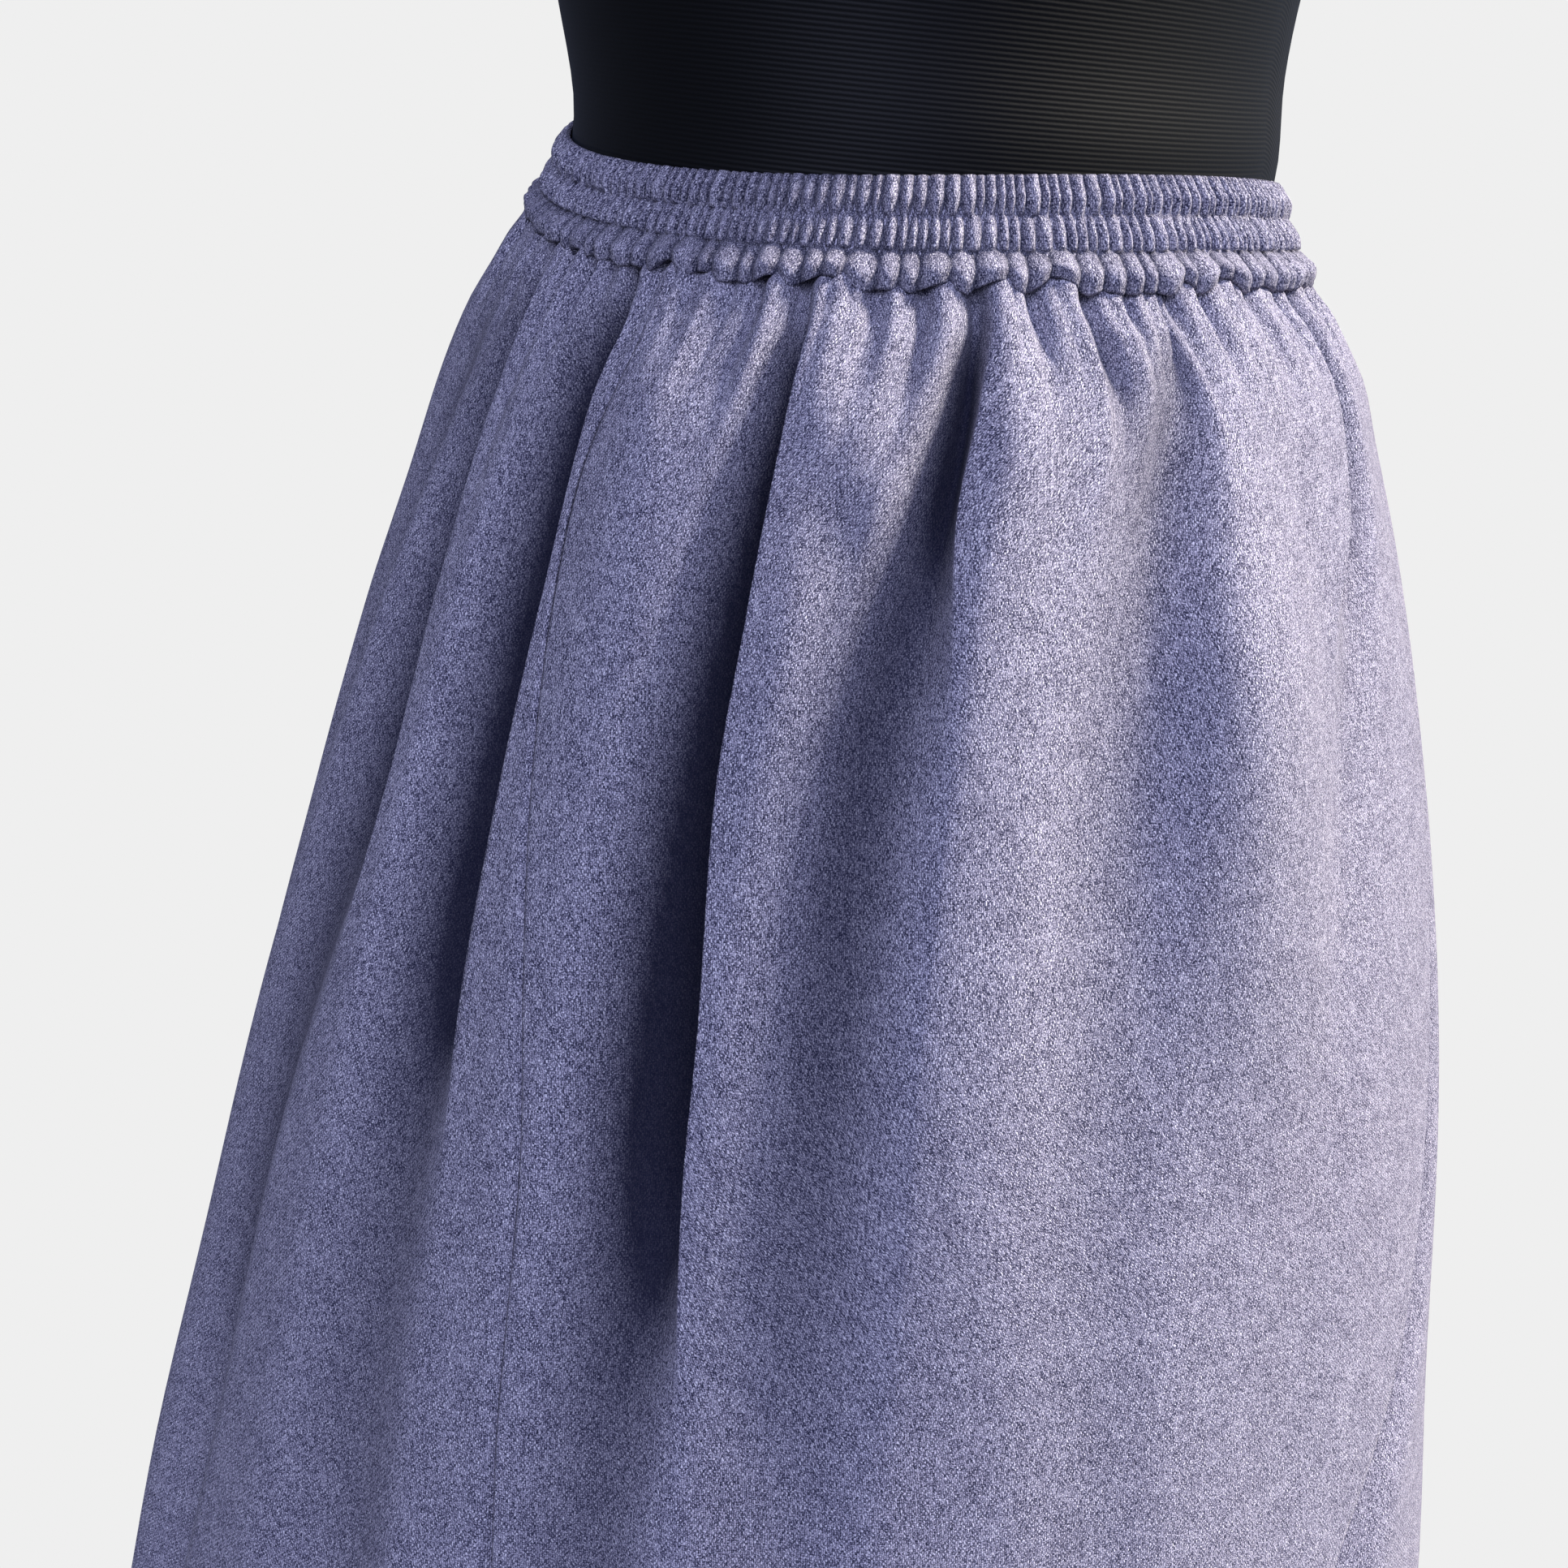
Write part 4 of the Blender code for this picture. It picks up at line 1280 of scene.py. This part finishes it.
def cover_material():
    finish, n, shader = new_material("ribbed_cover")
    uv = n.add("ShaderNodeUVMap", uv_map="cloth_metres").outputs[0]
    parts = n.add("ShaderNodeSeparateXYZ", {0: uv})
    rib = n.math("SINE", n.math("MULTIPLY", parts.outputs[1], 2.0 * math.pi / RIB_PITCH))
    rib = n.math("ADD", n.math("MULTIPLY", rib, 0.5), 0.5)
    yarn = n.add("ShaderNodeTexNoise", {"Vector": uv, "Scale": KNIT_SCALE, "Detail": 2.0}).outputs[0]
    level = n.math("ADD", n.math("MULTIPLY", rib, RIB_SHARE), n.math("MULTIPLY", yarn, 1.0 - RIB_SHARE))
    colour = n.ramp(level, (
        (0.15, (0.0002, 0.0004, 0.0008, 1.0)),
        (0.85, (0.0014, 0.0020, 0.0032, 1.0)),
    ))
    n.tree.links.new(colour, shader.inputs["Base Color"])
    shader.inputs["Roughness"].default_value = 0.55
    shader.inputs["Specular IOR Level"].default_value = 0.24
    shader.inputs["Sheen Weight"].default_value = 0.03
    shader.inputs["Sheen Tint"].default_value = (0.40, 0.62, 1.0, 1.0)
    shader.inputs["Sheen Roughness"].default_value = 0.4
    bump = n.add("ShaderNodeBump", {"Height": level, "Strength": 0.5, "Distance": 0.0002})
    n.tree.links.new(bump.outputs[0], shader.inputs["Normal"])
    return finish


print("sections of the form:", len(FORM_SECTIONS))

# %% Torso


def form_cover():
    """The torso as a closed loft, with the cover's back seam as a fine groove."""
    heights = column(FORM_SECTIONS, "height")
    levels = np.arange(heights[0], heights[-1], COVER_STEP)
    levels = np.append(levels, heights[-1])
    degrees = np.arange(COVER_COLUMNS) / COVER_COLUMNS * FULL_TURN
    turn = np.radians(degrees)
    half_width, half_depth, shift = (
        read_between(heights, column(FORM_SECTIONS, name), levels)[:, None]
        for name in ("half_width", "half_depth", "back_shift")
    )
    groove = COVER_GROOVE * np.exp(-(wrapped(degrees - COVER_SEAM) / COVER_GROOVE_WIDTH) ** 2)
    points = np.stack((
        (half_width - groove) * np.sin(turn),
        shift - (half_depth - groove) * np.cos(turn),
        np.broadcast_to(WAIST_HEIGHT + levels[:, None], (len(levels), COVER_COLUMNS)),
    ), axis=-1)[::-1]
    girth = math.pi * (FORM_HALF_WIDTH + FORM_HALF_DEPTH)
    across = np.broadcast_to(degrees / FULL_TURN * girth, points.shape[:2])
    past = np.clip(wrapped(degrees - COVER_SEAM), 0.0, SLANT_END) / FULL_TURN * girth
    down = points[..., 2] + SLANT * past
    faces = grid_faces(len(levels), COVER_COLUMNS, closed=True)
    uv = np.stack((across, down), axis=-1)
    cover = mesh_from_grid("form_cover", points, faces, uv, cover_material())
    work = bmesh.new()
    work.from_mesh(cover.data)
    bmesh.ops.holes_fill(work, edges=work.edges, sides=COVER_COLUMNS)
    bmesh.ops.recalc_face_normals(work, faces=work.faces)
    work.to_mesh(cover.data)
    work.free()
    return cover


cover = form_cover()
print("form cover:", triangles_of(cover), "triangles")

# %% [markdown]
# ## Cap and stand
#
# The cap, pole, collar and foot plate are plain hard pieces whose solids already have the right shape. They
# only get their finishes: satin plastic, and powder coat with its fine orange-peel texture.

# %% Finishes of the hard pieces
SPECKLE_LIGHT = 1.7
ROUGHNESS_SPREAD = 0.2


def coated(name, colour, roughness, metallic, speckle_size):
    finish, n, shader = new_material(name)
    place = n.add("ShaderNodeTexCoord").outputs["Object"]
    inputs = {"Vector": place, "Scale": 1.0 / speckle_size, "Detail": 3.0}
    speckle = n.add("ShaderNodeTexNoise", inputs).outputs[0]
    lighter = tuple(min(1.0, SPECKLE_LIGHT * value) for value in colour[:3]) + (1.0,)
    tone = n.mix(speckle, colour, lighter)
    n.tree.links.new(tone, shader.inputs["Base Color"])
    rough = n.math("MULTIPLY", speckle, ROUGHNESS_SPREAD)
    rough = n.math("ADD", rough, roughness - 0.5 * ROUGHNESS_SPREAD)
    n.tree.links.new(rough, shader.inputs["Roughness"])
    shader.inputs["Metallic"].default_value = metallic
    bump = n.add("ShaderNodeBump", {"Height": speckle, "Strength": 0.25, "Distance": 0.0002})
    n.tree.links.new(bump.outputs[0], shader.inputs["Normal"])
    return finish


metal = coated(
    "black_metal", colour=(0.020, 0.021, 0.023, 1.0), roughness=0.42, metallic=0.55, speckle_size=0.0016
)
plastic = coated(
    "black_cap", colour=(0.016, 0.016, 0.018, 1.0), roughness=0.45, metallic=0.0, speckle_size=0.0009
)
for node, finish in (
    ("form_neck_cap", plastic),
    ("stand_pole", metal),
    ("stand_collar", metal),
    ("stand_base", metal),
):
    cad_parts[node].data.materials.clear()
    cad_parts[node].data.materials.append(finish)
    print(node, "has finish", finish.name)

# %% [markdown]
# ## Stage and light
#
# The light of the photo is a low warm sun from behind on the right, with blue sky from everywhere else. Two
# sun lamps do this: a small warm one for the sun and a very wide blue one for the open sky. A dim blue world
# fills the rest. The floor and the backdrop only show to the camera, so their glow doesn't flatten the folds.

# %% Stage
STAGE_TONE = 0.863
FLOOR_SIZE = 30.0


def stage_material():
    finish = bpy.data.materials.new("pale_ground")
    finish.use_nodes = True
    nodes = finish.node_tree.nodes
    nodes.clear()
    glow = nodes.new("ShaderNodeEmission")
    glow.inputs["Color"].default_value = (STAGE_TONE, STAGE_TONE, STAGE_TONE, 1.0)
    output = nodes.new("ShaderNodeOutputMaterial")
    finish.node_tree.links.new(glow.outputs[0], output.inputs["Surface"])
    return finish


def stage_piece(name, build):
    mesh = bpy.data.meshes.new(name)
    work = bmesh.new()
    build(work)
    work.to_mesh(mesh)
    work.free()
    mesh.materials.append(ground)
    piece = link_mesh(name, mesh)
    piece.visible_diffuse = False
    piece.visible_glossy = False
    piece.visible_shadow = False
    piece.visible_transmission = False


ground = stage_material()
stage_piece(
    "studio_floor",
    lambda work: bmesh.ops.create_grid(work, x_segments=1, y_segments=1, size=FLOOR_SIZE / 2),
)
stage_piece(
    "studio_backdrop",
    lambda work: bmesh.ops.create_icosphere(work, subdivisions=4, radius=FLOOR_SIZE / 2),
)
print("stage:", FLOOR_SIZE, "m across")

# %% Light
SKY_COLOUR = (0.74, 0.78, 1.0, 1.0)
SKY_STRENGTH = 0.15


def far_light(name, azimuth, elevation, spread, strength, colour):
    """A light from far away, at an azimuth round the form; its spread softens the shadows."""
    turn, tilt = math.radians(azimuth), math.radians(elevation)
    outward = Vector((math.sin(turn) * math.cos(tilt), -math.cos(turn) * math.cos(tilt), math.sin(tilt)))
    data = bpy.data.lights.new(name, "SUN")
    data.angle = math.radians(spread)
    data.energy = strength
    data.color = colour
    lamp = bpy.data.objects.new(name, data)
    lamp.location = 2.0 * outward
    lamp.rotation_euler = outward.to_track_quat("Z", "Y").to_euler()
    bpy.context.scene.collection.objects.link(lamp)
    return lamp


low_sun = far_light(
    "low_sun", azimuth=220.0, elevation=48.0, spread=14.0, strength=8.2, colour=(1.0, 0.930, 0.805)
)
open_sky = far_light(
    "open_sky", azimuth=112.0, elevation=36.0, spread=60.0, strength=2.5, colour=(0.64, 0.69, 1.0)
)

world = bpy.data.worlds.new("sky")
bpy.context.scene.world = world
world.use_nodes = True
sky = world.node_tree.nodes["Background"]
sky.inputs["Color"].default_value = SKY_COLOUR
sky.inputs["Strength"].default_value = SKY_STRENGTH

bpy.context.scene.view_settings.view_transform = "Standard"
bpy.context.scene.view_settings.look = "None"
print("sun", round(low_sun.data.energy, 2), "open sky", round(open_sky.data.energy, 2), "rest", SKY_STRENGTH)

# %% [markdown]
# ## Handing the pieces to the frame
#
# Each piece rides on the root body, and the solid that it stands for is hidden.

# %% Ride and replace
for piece, node, slot in (
    (band, "waistband", "wool_cloth"),
    (front, "skirt_front", "wool_cloth"),
    (back, "skirt_back", "wool_cloth"),
    (cover, "form_torso", "ribbed_cover"),
):
    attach(piece, "root")
    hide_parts(node)
for row in (*shirring, hem_thread):
    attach(row, "root")
